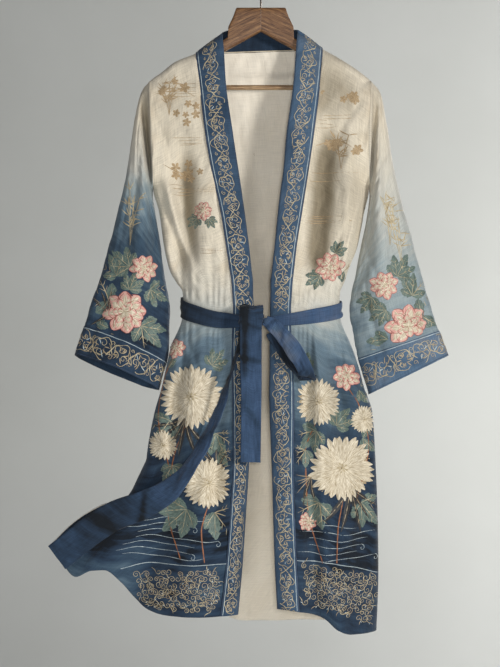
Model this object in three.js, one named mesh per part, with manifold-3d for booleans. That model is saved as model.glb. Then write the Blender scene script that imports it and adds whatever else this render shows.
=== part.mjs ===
// A long kimono robe hung on a wooden hanger, with its belt tied at the waist and the lower
// left of the skirt blown outwards. Millimetres, +Z up, +X to the right seen from the front,
// and the front faces -Y. The origin is the inside top of the hook, where a rail carries it.
// "Left" and "right" in the tables are as seen from the front. In the names of the sewn
// pieces they are the wearer's, so front_right lies on the left of the picture.
import * as THREE from "three";
import { mergeVertices } from "three/addons/utils/BufferGeometryUtils.js";
import Module from "manifold-3d";

const wasm = await Module();
wasm.setup();

// Cloth and fits
const clothThick = 2;
const collarThick = 3;
const beltThick = 2.4;
const seamGap = 0.4;
const sleeveGap = 0.9;
const beltWidth = 50;

// Hanger
const hookWire = 1.75;
const hookBend = 20;
const hangerTop = 80;
const hangerHalfThick = 11.5;
const armEnd = 206;
const barDown = 240.5;
const barRadius = 5;
const barHole = 5.4;
const barSeat = 178;
const barPlay = 0.4;

// Body: what the cloth lies over, and where its rows run
const foldRadius = 16;
const depthGrowth = 120;
const ovalPower = 2.6;
const shoulderPower = 14;
const armholeTop = 227;
const armholeBottom = 443;
const armholeDepth = 40;
const collarRise = 38;
const hemDown = 1295;
const flareTop = 991;
const waistDown = 690;

// The shoulder line over the hanger, mm below the hook, and on across the neck.
const shoulderLine = [
  { x: -240, down: 250 },
  { x: -223, down: 227 },
  { x: -200, down: 210 },
  { x: -173, down: 189 },
  { x: -130, down: 171 },
  { x: -77, down: 134 },
  { x: -58, down: 123 },
  { x: 0, down: 119 },
  { x: 56, down: 123 },
  { x: 72, down: 132 },
  { x: 124, down: 163 },
  { x: 158, down: 182 },
  { x: 191, down: 203 },
  { x: 221, down: 227 },
  { x: 240, down: 250 },
];

// The body by height: its two sides, its depth in front and behind, the collar's seam and
// the edge of the front opening on each side.
const robe = [
  { down: 121, left: -223, right: 221, front: 50, back: 46, seamL: -130, seamR: 124, openL: -79, openR: 74 },
  { down: 134, left: -223, right: 221, front: 50, back: 46, seamL: -130, seamR: 124, openL: -77, openR: 72 },
  { down: 171, left: -223, right: 221, front: 50, back: 46, seamL: -130, seamR: 123, openL: -74, openR: 70 },
  { down: 235, left: -223, right: 221, front: 52, back: 48, seamL: -123, seamR: 118, openL: -70, openR: 65 },
  { down: 337, left: -218, right: 215, front: 57, back: 52, seamL: -111, seamR: 105, openL: -56, openR: 51 },
  { down: 417, left: -217, right: 217, front: 60, back: 54, seamL: -97, seamR: 93, openL: -44, openR: 44 },
  { down: 443, left: -217, right: 218, front: 61, back: 55, seamL: -91, seamR: 89, openL: -40, openR: 40 },
  { down: 493, left: -205, right: 208, front: 62, back: 56, seamL: -80, seamR: 81, openL: -33, openR: 34 },
  { down: 563, left: -195, right: 194, front: 64, back: 57, seamL: -69, seamR: 70, openL: -24, openR: 27 },
  { down: 609, left: -184, right: 176, front: 62, back: 56, seamL: -62, seamR: 65, openL: -19, openR: 22 },
  { down: 636, left: -169, right: 167, front: 58, back: 51, seamL: -58, seamR: 62, openL: -16, openR: 19 },
  { down: 652, left: -158, right: 160, front: 55, back: 48, seamL: -57, seamR: 61, openL: -16, openR: 19 },
  { down: 690, left: -156, right: 158, front: 55, back: 48, seamL: -55, seamR: 59, openL: -14, openR: 18 },
  { down: 712, left: -160, right: 162, front: 56, back: 51, seamL: -56, seamR: 59, openL: -14, openR: 18 },
  { down: 763, left: -181, right: 183, front: 68, back: 61, seamL: -58, seamR: 61, openL: -15, openR: 17 },
  { down: 800, left: -190, right: 196, front: 73, back: 65, seamL: -58, seamR: 63, openL: -16, openR: 17 },
  { down: 845, left: -200, right: 208, front: 77, back: 69, seamL: -57, seamR: 65, openL: -17, openR: 16 },
  { down: 897, left: -215, right: 225, front: 81, back: 72, seamL: -56, seamR: 65, openL: -20, openR: 17 },
  { down: 991, left: -231, right: 231, front: 86, back: 77, seamL: -55, seamR: 64, openL: -24, openR: 21 },
  { down: 1087, left: -236, right: 235, front: 90, back: 81, seamL: -60, seamR: 66, openL: -30, openR: 24 },
  { down: 1193, left: -238, right: 237, front: 94, back: 85, seamL: -68, seamR: 70, openL: -37, openR: 27 },
  { down: 1295, left: -238, right: 233, front: 97, back: 88, seamL: -78, seamR: 75, openL: -46, openR: 32 },
];

// How far the band's free edge turns in towards the body, on each side of the opening.
const collarTurn = [
  { down: 121, left: 0, right: 0 },
  { down: 300, left: 3, right: 3 },
  { down: 500, left: 10, right: 10 },
  { down: 690, left: 8, right: 8 },
  { down: 900, left: 22, right: 14 },
  { down: 1090, left: 30, right: 16 },
  { down: 1295, left: 30, right: 16 },
];

// Long folds: their x at the top and at the bottom, or their place round the back from left
// (0) to right (1), where they start and end, their half width and their depth. Troughs are
// positive depths, ridges negative.
const frontFolds = [
  { topX: -150, endX: -168, from: 300, to: 640, width: 15, depth: 9 },
  { topX: -186, endX: -180, from: 380, to: 640, width: 16, depth: -7 },
  { topX: -106, endX: -98, from: 560, to: 660, width: 10, depth: 5 },
  { topX: 148, endX: 130, from: 330, to: 650, width: 15, depth: 10 },
  { topX: 176, endX: 160, from: 300, to: 640, width: 18, depth: -7 },
  { topX: 104, endX: 96, from: 540, to: 660, width: 10, depth: 5 },
  { topX: -84, endX: -92, from: 735, to: 1180, width: 15, depth: 10 },
  { topX: -128, endX: -150, from: 730, to: 1120, width: 17, depth: -10 },
  { topX: -150, endX: -196, from: 735, to: 1000, width: 12, depth: 7 },
  { topX: 88, endX: 92, from: 730, to: 1120, width: 13, depth: 11 },
  { topX: 116, endX: 128, from: 730, to: 1290, width: 15, depth: -11 },
  { topX: 140, endX: 166, from: 730, to: 1000, width: 12, depth: 9 },
  { topX: 100, endX: 106, from: 1000, to: 1420, width: 20, depth: 13 },
  { topX: 160, endX: 160, from: 1020, to: 1420, width: 20, depth: -13 },
];
const backFolds = [
  { place: 0.21, from: 260, to: 648, width: 0.035, depth: 8 },
  { place: 0.79, from: 260, to: 648, width: 0.035, depth: 8 },
  { place: 0.38, from: 430, to: 648, width: 0.035, depth: 6 },
  { place: 0.62, from: 430, to: 648, width: 0.035, depth: 6 },
  { place: 0.16, from: 726, to: 1420, width: 0.036, depth: 14 },
  { place: 0.235, from: 726, to: 1420, width: 0.034, depth: -9 },
  { place: 0.31, from: 726, to: 1420, width: 0.036, depth: 15 },
  { place: 0.385, from: 726, to: 1420, width: 0.034, depth: -9 },
  { place: 0.46, from: 726, to: 1420, width: 0.034, depth: 14 },
  { place: 0.54, from: 726, to: 1420, width: 0.034, depth: 14 },
  { place: 0.615, from: 726, to: 1420, width: 0.034, depth: -9 },
  { place: 0.69, from: 726, to: 1420, width: 0.036, depth: 15 },
  { place: 0.765, from: 726, to: 1420, width: 0.034, depth: -9 },
  { place: 0.84, from: 726, to: 1420, width: 0.036, depth: 14 },
];

// The hem hangs unevenly: how far it drops by angle round the body, 0 at the front middle.
const hemDrop = [
  { angle: -1.6, drop: 0 },
  { angle: 0, drop: 0 },
  { angle: 0.15, drop: -12 },
  { angle: 0.34, drop: -7 },
  { angle: 0.56, drop: 6 },
  { angle: 0.72, drop: 30 },
  { angle: 0.9, drop: 40 },
  { angle: 1.57, drop: 38 },
  { angle: 2.4, drop: 24 },
  { angle: 3.14, drop: 14 },
  { angle: 4.72, drop: 0 },
];

// The blown corner: where its hem lies from the tip (0) to the front opening (1), and how
// far each height between the flare's top (0) and the hem (1) follows it.
const flareHem = [
  { share: 0, x: -424, down: 1161 },
  { share: 0.1, x: -400, down: 1194 },
  { share: 0.2, x: -371, down: 1222 },
  { share: 0.3, x: -338, down: 1209 },
  { share: 0.37, x: -313, down: 1208 },
  { share: 0.47, x: -279, down: 1234 },
  { share: 0.56, x: -254, down: 1264 },
  { share: 0.65, x: -226, down: 1287 },
  { share: 0.75, x: -186, down: 1297 },
  { share: 0.88, x: -112, down: 1300 },
  { share: 1, x: -58, down: 1297 },
];
const flareFollow = [
  { along: 0, share: 0 },
  { along: 0.14, share: 0.07 },
  { along: 0.31, share: 0.17 },
  { along: 0.51, share: 0.47 },
  { along: 0.78, share: 0.79 },
  { along: 1, share: 1 },
];
const flareSpan = 1.34;
const flareWave = 22;

// Sleeves: rings from the armhole (0) to the cuff's edge (1). Each has its top point, its
// underarm point, its half depth and how far its back hangs below its front.
const sleeveOnLeft = [
  { along: 0, topX: -224, topDown: 227, underX: -217, underDown: 443, depth: 40, lean: 0 },
  { along: 0.1, topX: -241, topDown: 250, underX: -218, underDown: 462, depth: 42, lean: 0 },
  { along: 0.23, topX: -255, topDown: 306, underX: -211, underDown: 506, depth: 46, lean: 0.02 },
  { along: 0.4, topX: -269, topDown: 403, underX: -202, underDown: 560, depth: 50, lean: 0.05 },
  { along: 0.55, topX: -295, topDown: 517, underX: -194, underDown: 622, depth: 52, lean: 0.1 },
  { along: 0.7, topX: -321, topDown: 611, underX: -183, underDown: 690, depth: 48, lean: 0.15 },
  { along: 0.85, topX: -348, topDown: 696, underX: -186, underDown: 768, depth: 42, lean: 0.2 },
  { along: 1, topX: -375, topDown: 780, underX: -207, underDown: 849, depth: 36, lean: 0.24 },
];
const sleeveOnRight = [
  { along: 0, topX: 222, topDown: 227, underX: 218, underDown: 443, depth: 40, lean: 0 },
  { along: 0.1, topX: 241, topDown: 252, underX: 219, underDown: 462, depth: 42, lean: 0 },
  { along: 0.23, topX: 254, topDown: 316, underX: 213, underDown: 508, depth: 46, lean: 0 },
  { along: 0.4, topX: 270, topDown: 413, underX: 201, underDown: 564, depth: 50, lean: 0 },
  { along: 0.55, topX: 299, topDown: 525, underX: 190, underDown: 622, depth: 52, lean: 0 },
  { along: 0.7, topX: 322, topDown: 613, underX: 179, underDown: 684, depth: 48, lean: 0 },
  { along: 0.85, topX: 349, topDown: 706, underX: 190, underDown: 756, depth: 42, lean: 0.02 },
  { along: 1, topX: 378, topDown: 781, underX: 218, underDown: 859, depth: 36, lean: 0.04 },
];
const cuffFrom = 0.9;
const cuffStep = 0.6;
// Folds along the sleeve: angle round the ring (0 at the top, positive in front), where
// they start and end, half width in radians and depth.
const sleeveFolds = [
  { angle: 1.15, from: 0.02, to: 0.75, width: 0.22, depth: 7 },
  { angle: 1.75, from: 0.2, to: 1.2, width: 0.26, depth: -6 },
  { angle: 2.5, from: 0.15, to: 0.85, width: 0.24, depth: 7 },
  { angle: -1.2, from: 0.05, to: 0.8, width: 0.26, depth: 7 },
  { angle: -2.1, from: 0.15, to: 1.2, width: 0.28, depth: -6 },
];

// Belt: the line of its middle round the waist, and its width there, by angle.
const beltLine = [
  { angle: -1.57, down: 677, width: 40 },
  { angle: -1, down: 690, width: 40 },
  { angle: -0.5, down: 702, width: 38 },
  { angle: -0.1, down: 707, width: 32 },
  { angle: 0.3, down: 703, width: 34 },
  { angle: 0.8, down: 693, width: 40 },
  { angle: 1.57, down: 683, width: 42 },
  { angle: 3.14, down: 674, width: 44 },
  { angle: 4.713, down: 677, width: 40 },
];
const beltOut = 4.1;
const beltSteps = 40;

// The knot, and the three stretches of strip that leave it. Each row has the middle of the
// strip, its width, and the turn of its width about its own length: 0 lies flat to the front.
const knot = { x: -19, y: -75.3, down: 706, halfWide: 25, halfHigh: 21, halfDeep: 15 };
const tailFront = [
  { x: -19, y: -66, down: 683.5, width: 44, turn: 0 },
  { x: -19, y: -78, down: 681.5, width: 46, turn: 0 },
  { x: -19, y: -89, down: 685.5, width: 47, turn: 0 },
  { x: -19, y: -93.5, down: 700, width: 46, turn: 0 },
  { x: -20, y: -94.5, down: 730, width: 43, turn: 3 },
  { x: -20, y: -96, down: 790, width: 43, turn: 8 },
  { x: -19, y: -99, down: 850, width: 41, turn: 8 },
  { x: -20, y: -101, down: 920, width: 40, turn: 4 },
  { x: -21, y: -102, down: 988, width: 40, turn: 0 },
];
const tailBlown = [
  { x: -36, y: -80, down: 726, width: 14, turn: 55 },
  { x: -44, y: -83, down: 764, width: 17, turn: 66 },
  { x: -57, y: -94, down: 806, width: 30, turn: 70 },
  { x: -76, y: -104, down: 866, width: 44, turn: 66 },
  { x: -102, y: -105, down: 930, width: 50, turn: 50 },
  { x: -136, y: -103, down: 992, width: 50, turn: 32 },
  { x: -182, y: -93, down: 1046, width: 52, turn: 14 },
  { x: -236, y: -73, down: 1078, width: 56, turn: 2 },
  { x: -292, y: -64, down: 1100, width: 58, turn: -4 },
  { x: -342, y: -60, down: 1132, width: 58, turn: 2 },
  { x: -380, y: -56, down: 1162, width: 58, turn: 4 },
  { x: -408, y: -48, down: 1184, width: 58, turn: 4 },
];
const beltLoop = [
  { x: 8.2, y: -84, down: 708, width: 20, turn: 10 },
  { x: 26, y: -92, down: 720, width: 28, turn: 16 },
  { x: 52, y: -104, down: 746, width: 34, turn: 24 },
  { x: 80, y: -110, down: 780, width: 36, turn: 30 },
  { x: 98, y: -106, down: 805, width: 36, turn: 34 },
  { x: 103, y: -95, down: 815, width: 36, turn: 36 },
  { x: 95, y: -86, down: 808, width: 36, turn: 34 },
  { x: 70, y: -82, down: 784, width: 34, turn: 26 },
  { x: 40, y: -79, down: 752, width: 30, turn: 18 },
  { x: 18, y: -78, down: 730, width: 22, turn: 10 },
];

// Hanger arm: the block's top and the arm's under edge, by distance from the middle.
const armTop = [
  { x: 0, down: 80 },
  { x: 48, down: 80 },
  { x: 50.5, down: 82 },
  { x: 56, down: 98 },
  { x: 66, down: 119 },
];
const armUnder = [
  { x: 0, down: 128 },
  { x: 74, down: 169 },
  { x: 120, down: 197 },
  { x: 150, down: 217 },
  { x: 162, down: 228 },
  { x: 168, down: 250 },
  { x: 192, down: 254 },
  { x: 206, down: 240 },
];
const armStations = [0, 48, 50.5, 56, 66, 72, 80, 95, 112, 130, 145, 158, 164, 169, 180, 192, 202, 206];

// Colours
const colours = {
  linen: 0xd9cfba,
  skirt: 0x4c6580,
  sleeve: 0x5f7c98,
  band: 0x2c4568,
  belt: 0x34496b,
  wood: 0x7a5a3e,
  wire: 0x24211f,
};

const mix = (a, b, share) => a + (b - a) * share;
const clamp01 = (v) => Math.min(1, Math.max(0, v));
const ease = (v) => clamp01(v) ** 2 * (3 - 2 * clamp01(v));
const radians = (degrees) => (degrees * Math.PI) / 180;

// A column of a table read along its key column, on a smooth curve that never overshoots.
function column(rows, key, name) {
  const x = rows.map((row) => row[key]);
  const y = rows.map((row) => row[name]);
  const last = x.length - 1;
  const slope = x.slice(1).map((_, i) => (y[i + 1] - y[i]) / (x[i + 1] - x[i]));
  const tangent = x.map((_, i) => {
    if (i === 0) return slope[0];
    if (i === last) return slope[last - 1];
    if (slope[i - 1] * slope[i] <= 0) return 0;
    return (2 * slope[i - 1] * slope[i]) / (slope[i - 1] + slope[i]);
  });
  return (at) => {
    if (at <= x[0]) return y[0];
    if (at >= x[last]) return y[last];
    let i = 0;
    while (x[i + 1] < at) i += 1;
    const gap = x[i + 1] - x[i];
    const s = (at - x[i]) / gap;
    const start = (1 + 2 * s) * (1 - s) ** 2 * y[i] + s * (1 - s) ** 2 * gap * tangent[i];
    return start + s * s * (3 - 2 * s) * y[i + 1] + s * s * (s - 1) * gap * tangent[i + 1];
  };
}

// Straight reading, for outlines with corners.
function straight(rows, key, name) {
  return (at) => {
    let i = 0;
    while (i < rows.length - 2 && rows[i + 1][key] < at) i += 1;
    const share = clamp01((at - rows[i][key]) / (rows[i + 1][key] - rows[i][key]));
    return mix(rows[i][name], rows[i + 1][name], share);
  };
}

const columnsOf = (rows, key) =>
  Object.fromEntries(
    Object.keys(rows[0]).filter((name) => name !== key).map((name) => [name, column(rows, key, name)]),
  );

const shoulderAt = column(shoulderLine, "x", "down");
const robeAt = columnsOf(robe, "down");
const turnAt = columnsOf(collarTurn, "down");
const dropAt = column(hemDrop, "angle", "drop");
const flareX = column(flareHem, "share", "x");
const flareDown = column(flareHem, "share", "down");
const followAt = column(flareFollow, "along", "share");
const beltAt = columnsOf(beltLine, "angle");

// The sum of a table of folds at a place across and a height.
function foldSum(folds, place, down) {
  return folds.reduce((sum, fold) => {
    const along = (down - fold.from) / (fold.to - fold.from);
    if (along <= 0 || along >= 1) return sum;
    const rise = ease(along * 3.2) * ease((1 - along) * 4);
    const off = (place - (fold.place ?? mix(fold.topX, fold.endX, along))) / fold.width;
    return sum + fold.depth * rise * Math.exp(-off * off);
  }, 0);
}

// Half the depth of the armhole's opening at a height: an ellipse.
function armholeAt(down) {
  const middle = (armholeTop + armholeBottom) / 2;
  const off = (down - middle) / ((armholeBottom - armholeTop) / 2);
  return Math.abs(off) >= 1 ? 0 : armholeDepth * Math.sqrt(1 - off * off);
}

// Half the depth of an oval section at a share across: 1 in the middle, 0 at the side.
const oval = (across, power) => Math.sqrt(Math.max(0, 1 - Math.abs(across) ** power));

// The body's surface without folds: the cloth rounds over the hanger, then falls out to the
// body's depth, and keeps clear of the armhole. side is -1 in front and 1 behind.
function bodySurface(x, down, side) {
  const left = robeAt.left(down);
  const right = robeAt.right(down);
  const across = Math.min(1, Math.abs((x - (left + right) / 2) / ((right - left) / 2)));
  const full = side < 0 ? robeAt.front(down) : robeAt.back(down);
  const drop = Math.max(down - shoulderAt(x), 0);
  const power = mix(shoulderPower, ovalPower, clamp01(drop / 150));
  const bend = foldRadius * oval(1 - Math.min(drop / foldRadius, 1), 2) * oval(across, power);
  const fall = (full - foldRadius) * (1 - Math.exp(-drop / depthGrowth)) * oval(across, ovalPower);
  const deep = ((bend + fall) ** 8 + armholeAt(down) ** 8) ** 0.125;
  return side * Math.max(seamGap / 2, deep);
}

// Moves a place on the skirt as the hem's drop and the blown corner ask.
// span is the angle from the left side seam, in front or behind.
function blow(point, angle, span, down) {
  const along = clamp01((down - flareTop) / (hemDown - flareTop));
  const drop = dropAt(angle) * ease((down - 1090) / (hemDown - 1090));
  point.z -= drop;
  const share = span / flareSpan;
  if (share >= 1 || along <= 0) return point;
  const left = robeAt.left(hemDown);
  const right = robeAt.right(hemDown);
  const hemX = (left + right) / 2 - ((right - left) / 2) * Math.cos(span);
  const follow = followAt(along);
  const fade = 1 - ease((share - 0.72) / 0.28);
  point.x += (flareX(share) - hemX) * follow * fade;
  point.z -= (flareDown(share) - hemDown) * follow * fade;
  point.y -= flareWave * follow * Math.sin(share * 7.5) * fade;
  return point;
}

// The share of the way down the shoulder rows, and the height below it.
const upperShares = [0, 0.005, 0.018, 0.05, 0.11, 0.21, 0.37, 0.57, 0.78, 1];
const lowerDowns = [485, 530, 575, 610, 636, 652, 678, 704, 724, 748, 785, 835, 890, 945, 991];
const skirtDowns = [1035, 1078, 1120, 1160, 1200, 1240, 1270, 1295];
const rows = [
  ...upperShares.map((share) => ({ share, down: 0 })),
  ...[...lowerDowns, ...skirtDowns].map((down) => ({ share: 1, down })),
];

// The height of a row at x: shoulder rows run from the shoulder line to the armhole's end.
const rowDown = (row, x) => (row.down ? row.down : mix(shoulderAt(x), armholeBottom, row.share));

// A place on a row, where x follows a column that is itself read by height.
function onRow(row, place) {
  let down = row.down || mix(armholeTop, armholeBottom, row.share);
  for (let i = 0; i < 6; i += 1) down = rowDown(row, place(down));
  return { x: place(down), down };
}

// A point of a front at a share of the way from the side (0) to the collar's seam (1).
function frontPoint(row, share, onLeft) {
  const side = onRow(row, onLeft ? robeAt.left : robeAt.right);
  const seam = onRow(row, onLeft ? robeAt.seamL : robeAt.seamR);
  const middle = (robeAt.left(side.down) + robeAt.right(side.down)) / 2;
  const reach = Math.abs(side.x - middle);
  const seamAngle = Math.acos(clamp01(Math.abs(seam.x - middle) / reach));
  const angle = share * seamAngle;
  const x = middle + (onLeft ? -1 : 1) * reach * Math.cos(angle);
  const down = rowDown(row, x);
  const point = new THREE.Vector3(x, bodySurface(x, down, -1), -down);
  point.y += foldSum(frontFolds, x, down);
  const body = onLeft ? angle - Math.PI / 2 : Math.PI / 2 - angle;
  return blow(point, body, onLeft ? angle : Math.PI, down);
}

// A point of the back at a share from the left side (0) to the right side (1).
function backPoint(row, share) {
  const left = onRow(row, robeAt.left);
  const right = onRow(row, robeAt.right);
  const angle = share * Math.PI;
  const middle = (left.x + right.x) / 2;
  const x = middle - ((right.x - left.x) / 2) * Math.cos(angle);
  const neck = x > robe[0].seamL + 0.01 && x < robe[0].seamR - 0.01;
  const top = neck ? neckSeamDown(x) : shoulderAt(x);
  const down = row.down ? row.down : mix(top, armholeBottom, row.share);
  const point = new THREE.Vector3(x, bodySurface(x, down, 1), -down);
  point.y -= foldSum(backFolds, share, down);
  return blow(point, (3 * Math.PI) / 2 - angle, angle, down);
}

// The back neck's seam runs level from one shoulder to the other.
const neckSeamDown = (x) => mix(shoulderAt(robe[0].seamL), shoulderAt(robe[0].seamR),
  (x - robe[0].seamL) / (robe[0].seamR - robe[0].seamL));

// A point of the collar on a front: share runs from the seam (0) to the free edge (1).
function collarFront(row, share, onLeft) {
  const seam = onRow(row, onLeft ? robeAt.seamL : robeAt.seamR);
  const rise = row.down ? 0 : collarRise * (1 - row.share) ** 3;
  const openDown = seam.down - rise;
  const openX = (onLeft ? robeAt.openL : robeAt.openR)(openDown);
  const sign = onLeft ? -1 : 1;
  const x = mix(seam.x - sign * seamGap, openX, share);
  const down = mix(seam.down, openDown, share);
  const turn = (onLeft ? turnAt.left : turnAt.right)(down);
  const point = new THREE.Vector3(x, bodySurface(x, down, -1) + turn * share * share, -down);
  point.y += foldSum(frontFolds, x, down) * (1 - share);
  const middle = (robeAt.left(down) + robeAt.right(down)) / 2;
  const reach = (robeAt.right(down) - robeAt.left(down)) / 2;
  const span = Math.acos(clamp01(Math.abs(x - middle) / reach));
  return blow(point, sign * (Math.PI / 2 - span), onLeft ? span : Math.PI, down);
}

// A point of the collar round the back neck, from the left shoulder (0) to the right (1).
function collarNeck(along, share) {
  const turn = Math.cos(along * Math.PI);
  const lift = Math.sin(along * Math.PI);
  const { seamL, seamR } = robe[0];
  const seamX = mix(seamL, seamR, (1 - turn) / 2);
  const seamDown = neckSeamDown(seamX) - 1.5 * seamGap;
  const seamY = bodySurface(seamX, seamDown + seamGap, 1);
  const leftTop = onRow(rows[0], robeAt.seamL).down - collarRise;
  const rightTop = onRow(rows[0], robeAt.seamR).down - collarRise;
  const topX = mix(robeAt.openL(leftTop), robeAt.openR(rightTop), (1 - turn) / 2);
  const topDown = mix(mix(leftTop, rightTop, along), 119, Math.min(1, lift * 1.25));
  const bow = 2.5 * Math.sin(share * Math.PI) * lift;
  return new THREE.Vector3(
    mix(seamX, topX, share),
    mix(seamY, 35 * lift ** 0.8, share) + bow,
    -mix(seamDown, topDown, share),
  );
}

// Outward normals of a grid of points, by differences. wrapped grids close across.
function gridNormals(grid, wrapped, flip) {
  const across = grid[0].length;
  const down = grid.length;
  return grid.map((line, j) =>
    line.map((_, i) => {
      const before = wrapped ? (i + across - 1) % across : Math.max(i - 1, 0);
      const after = wrapped ? (i + 1) % across : Math.min(i + 1, across - 1);
      const u = line[after].clone().sub(line[before]);
      const v = grid[Math.min(j + 1, down - 1)][i].clone().sub(grid[Math.max(j - 1, 0)][i]);
      return u.cross(v).multiplyScalar(flip ? -1 : 1).normalize();
    }),
  );
}

// A closed wall between a grid of outer points and one of inner points.
function wallBetween(outer, inner, wrapped) {
  const down = outer.length;
  const across = outer[0].length;
  const positions = [...outer.flat(), ...inner.flat()].flatMap((p) => [p.x, p.y, p.z]);
  const out = (j, i) => j * across + (i % across);
  const back = (j, i) => out(j, i) + down * across;
  const faces = [];
  const quad = (a, b, c, d) => faces.push(a, b, c, a, c, d);
  const last = wrapped ? across : across - 1;
  for (let j = 0; j < down - 1; j += 1) {
    for (let i = 0; i < last; i += 1) {
      quad(out(j, i), out(j, i + 1), out(j + 1, i + 1), out(j + 1, i));
      quad(back(j, i), back(j + 1, i), back(j + 1, i + 1), back(j, i + 1));
    }
  }
  for (let i = 0; i < last; i += 1) {
    quad(out(0, i), back(0, i), back(0, i + 1), out(0, i + 1));
    quad(out(down - 1, i), out(down - 1, i + 1), back(down - 1, i + 1), back(down - 1, i));
  }
  if (!wrapped) {
    for (let j = 0; j < down - 1; j += 1) {
      quad(out(j, 0), out(j + 1, 0), back(j + 1, 0), back(j, 0));
      quad(out(j, last), back(j, last), back(j + 1, last), out(j + 1, last));
    }
  }
  return solidFrom(positions, faces);
}

// Turns points and faces into a geometry whose faces point out.
function solidFrom(positions, faces) {
  const geometry = new THREE.BufferGeometry();
  geometry.setAttribute("position", new THREE.Float32BufferAttribute(positions, 3));
  geometry.setIndex(faces);
  if (signedVolume(positions, faces) < 0) {
    for (let i = 0; i < faces.length; i += 3) [faces[i + 1], faces[i + 2]] = [faces[i + 2], faces[i + 1]];
    geometry.setIndex(faces);
  }
  geometry.computeVertexNormals();
  return geometry;
}

function signedVolume(p, faces) {
  let sum = 0;
  const at = (i) => new THREE.Vector3(p[3 * i], p[3 * i + 1], p[3 * i + 2]);
  for (let i = 0; i < faces.length; i += 3) {
    sum += at(faces[i]).dot(at(faces[i + 1]).cross(at(faces[i + 2])));
  }
  return sum / 6;
}

// A wall of even thickness under a grid. Beside a seam its normals are levelled, so that the
// pieces on both sides stay clear: with no y along the shoulder and side seams, with no x
// round the armhole and along the collar, and with no z along the back neck.
const atArmhole = (n) => n.setX(0).normalize();
const atShoulder = (n) => n.setY(0).normalize();
const atNeck = (n) => n.setZ(0).normalize();
function clothWall(grid, { thick = clothThick, wrapped = false, flip = false, level } = {}) {
  const normals = gridNormals(grid, wrapped, flip);
  if (level) level(normals, grid);
  const inner = grid.map((line, j) =>
    line.map((p, i) => p.clone().addScaledVector(normals[j][i], -thick)),
  );
  return wallBetween(grid, inner, wrapped);
}

const spread = (count) => Array.from({ length: count + 1 }, (_, i) => i / count);

// Pieces of the body
const seamAngleGap = 0.0024;
const frontAcross = 14;
const backAcross = 26;
const backNeckStep = 8;
const collarAcross = 3;
const neckSteps = 12;

// Levels the normals of a side edge: the armhole's rows, then the side seam below it.
function levelSide(normals, at) {
  const last = upperShares.length - 1;
  normals.forEach((line, j) => (j > 0 && j < last ? atArmhole : atShoulder)(line.at(at)));
}

function makeFront(onLeft) {
  const shares = spread(frontAcross).map((s) => mix(seamAngleGap, 1, s));
  const grid = rows.map((row) => shares.map((share) => frontPoint(row, share, onLeft)));
  const level = (normals) => {
    normals[0].forEach(atShoulder);
    levelSide(normals, 0);
    normals.forEach((line) => atArmhole(line.at(-1)));
    normals[0].at(-1).set(0, 0, 1);
  };
  return clothWall(grid, { flip: onLeft, level });
}

function makeBack() {
  const { left, right, seamL, seamR } = robe[0];
  const placeOf = (x) => Math.acos(((left + right) / 2 - x) / ((right - left) / 2)) / Math.PI;
  const marks = [
    { step: 0, place: seamAngleGap },
    { step: backNeckStep, place: placeOf(seamL) },
    { step: backAcross - backNeckStep, place: placeOf(seamR) },
    { step: backAcross, place: 1 - seamAngleGap },
  ];
  const shareAt = straight(marks, "step", "place");
  const shares = spread(backAcross).map((s) => shareAt(s * backAcross));
  const grid = rows.map((row) => shares.map((share) => backPoint(row, share)));
  const level = (normals) => {
    normals[0].forEach((n, i) => {
      const neck = i > backNeckStep && i < backAcross - backNeckStep;
      return neck ? atNeck(n) : atShoulder(n);
    });
    levelSide(normals, 0);
    levelSide(normals, -1);
    normals[0][backNeckStep].set(0, 0, 1);
    normals[0][backAcross - backNeckStep].set(0, 0, 1);
  };
  return clothWall(grid, { level });
}

function makeCollar() {
  const shares = spread(collarAcross);
  const up = [...rows].reverse().map((row) => shares.map((s) => collarFront(row, s, true)));
  const round = spread(neckSteps).slice(1, -1).map((a) => shares.map((s) => collarNeck(a, s)));
  const downwards = rows.map((row) => shares.map((s) => collarFront(row, s, false)));
  const level = (normals) => {
    normals.forEach((line, j) => {
      const neck = j >= up.length && j < up.length + round.length;
      return neck ? atNeck(line[0]) : atArmhole(line[0]);
    });
    normals[up.length - 1][0].set(-1, 0, 0);
    normals[up.length + round.length][0].set(1, 0, 0);
  };
  return clothWall([...up, ...round, ...downwards], { thick: collarThick, level });
}

// Sleeves
function sleevePoint(table, along, angle) {
  const at = table;
  const top = new THREE.Vector3(at.topX(along), 0, -at.topDown(along));
  const under = new THREE.Vector3(at.underX(along), 0, -at.underDown(along));
  const middle = top.clone().add(under).multiplyScalar(0.5);
  const half = top.clone().sub(under).multiplyScalar(0.5);
  const fold = sleeveFolds.reduce((sum, f) => {
    const share = (along - f.from) / (f.to - f.from);
    if (share <= 0 || share >= 1) return sum;
    const off = Math.atan2(Math.sin(angle - f.angle), Math.cos(angle - f.angle)) / f.width;
    return sum + f.depth * ease(share * 3) * ease((1 - share) * 3) * Math.exp(-off * off);
  }, 0);
  const depth = at.depth(along);
  const point = middle.addScaledVector(half, Math.cos(angle) * (1 - fold / half.length() / 2));
  point.y = -(depth - fold) * Math.sin(angle);
  point.z -= at.lean(along) * point.y;
  return point;
}

const ringSteps = 20;
const sleeveStations = [0, 0.04, 0.1, 0.17, 0.26, 0.36, 0.47, 0.58, 0.69, 0.8];

function makeTube(rowsOf, onLeft, stations) {
  const table = columnsOf(rowsOf, "along");
  const sign = onLeft ? -1 : 1;
  const grid = stations.map((along) =>
    spread(ringSteps).slice(0, -1).map((share) => {
      const point = sleevePoint(table, along, share * 2 * Math.PI);
      if (along === 0) point.x = (onLeft ? robeAt.left : robeAt.right)(-point.z) + sign * sleeveGap;
      return point;
    }),
  );
  const level = (normals) => stations[0] === 0 && normals[0].forEach(atArmhole);
  return clothWall(grid, { wrapped: true, flip: onLeft, level });
}

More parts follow.
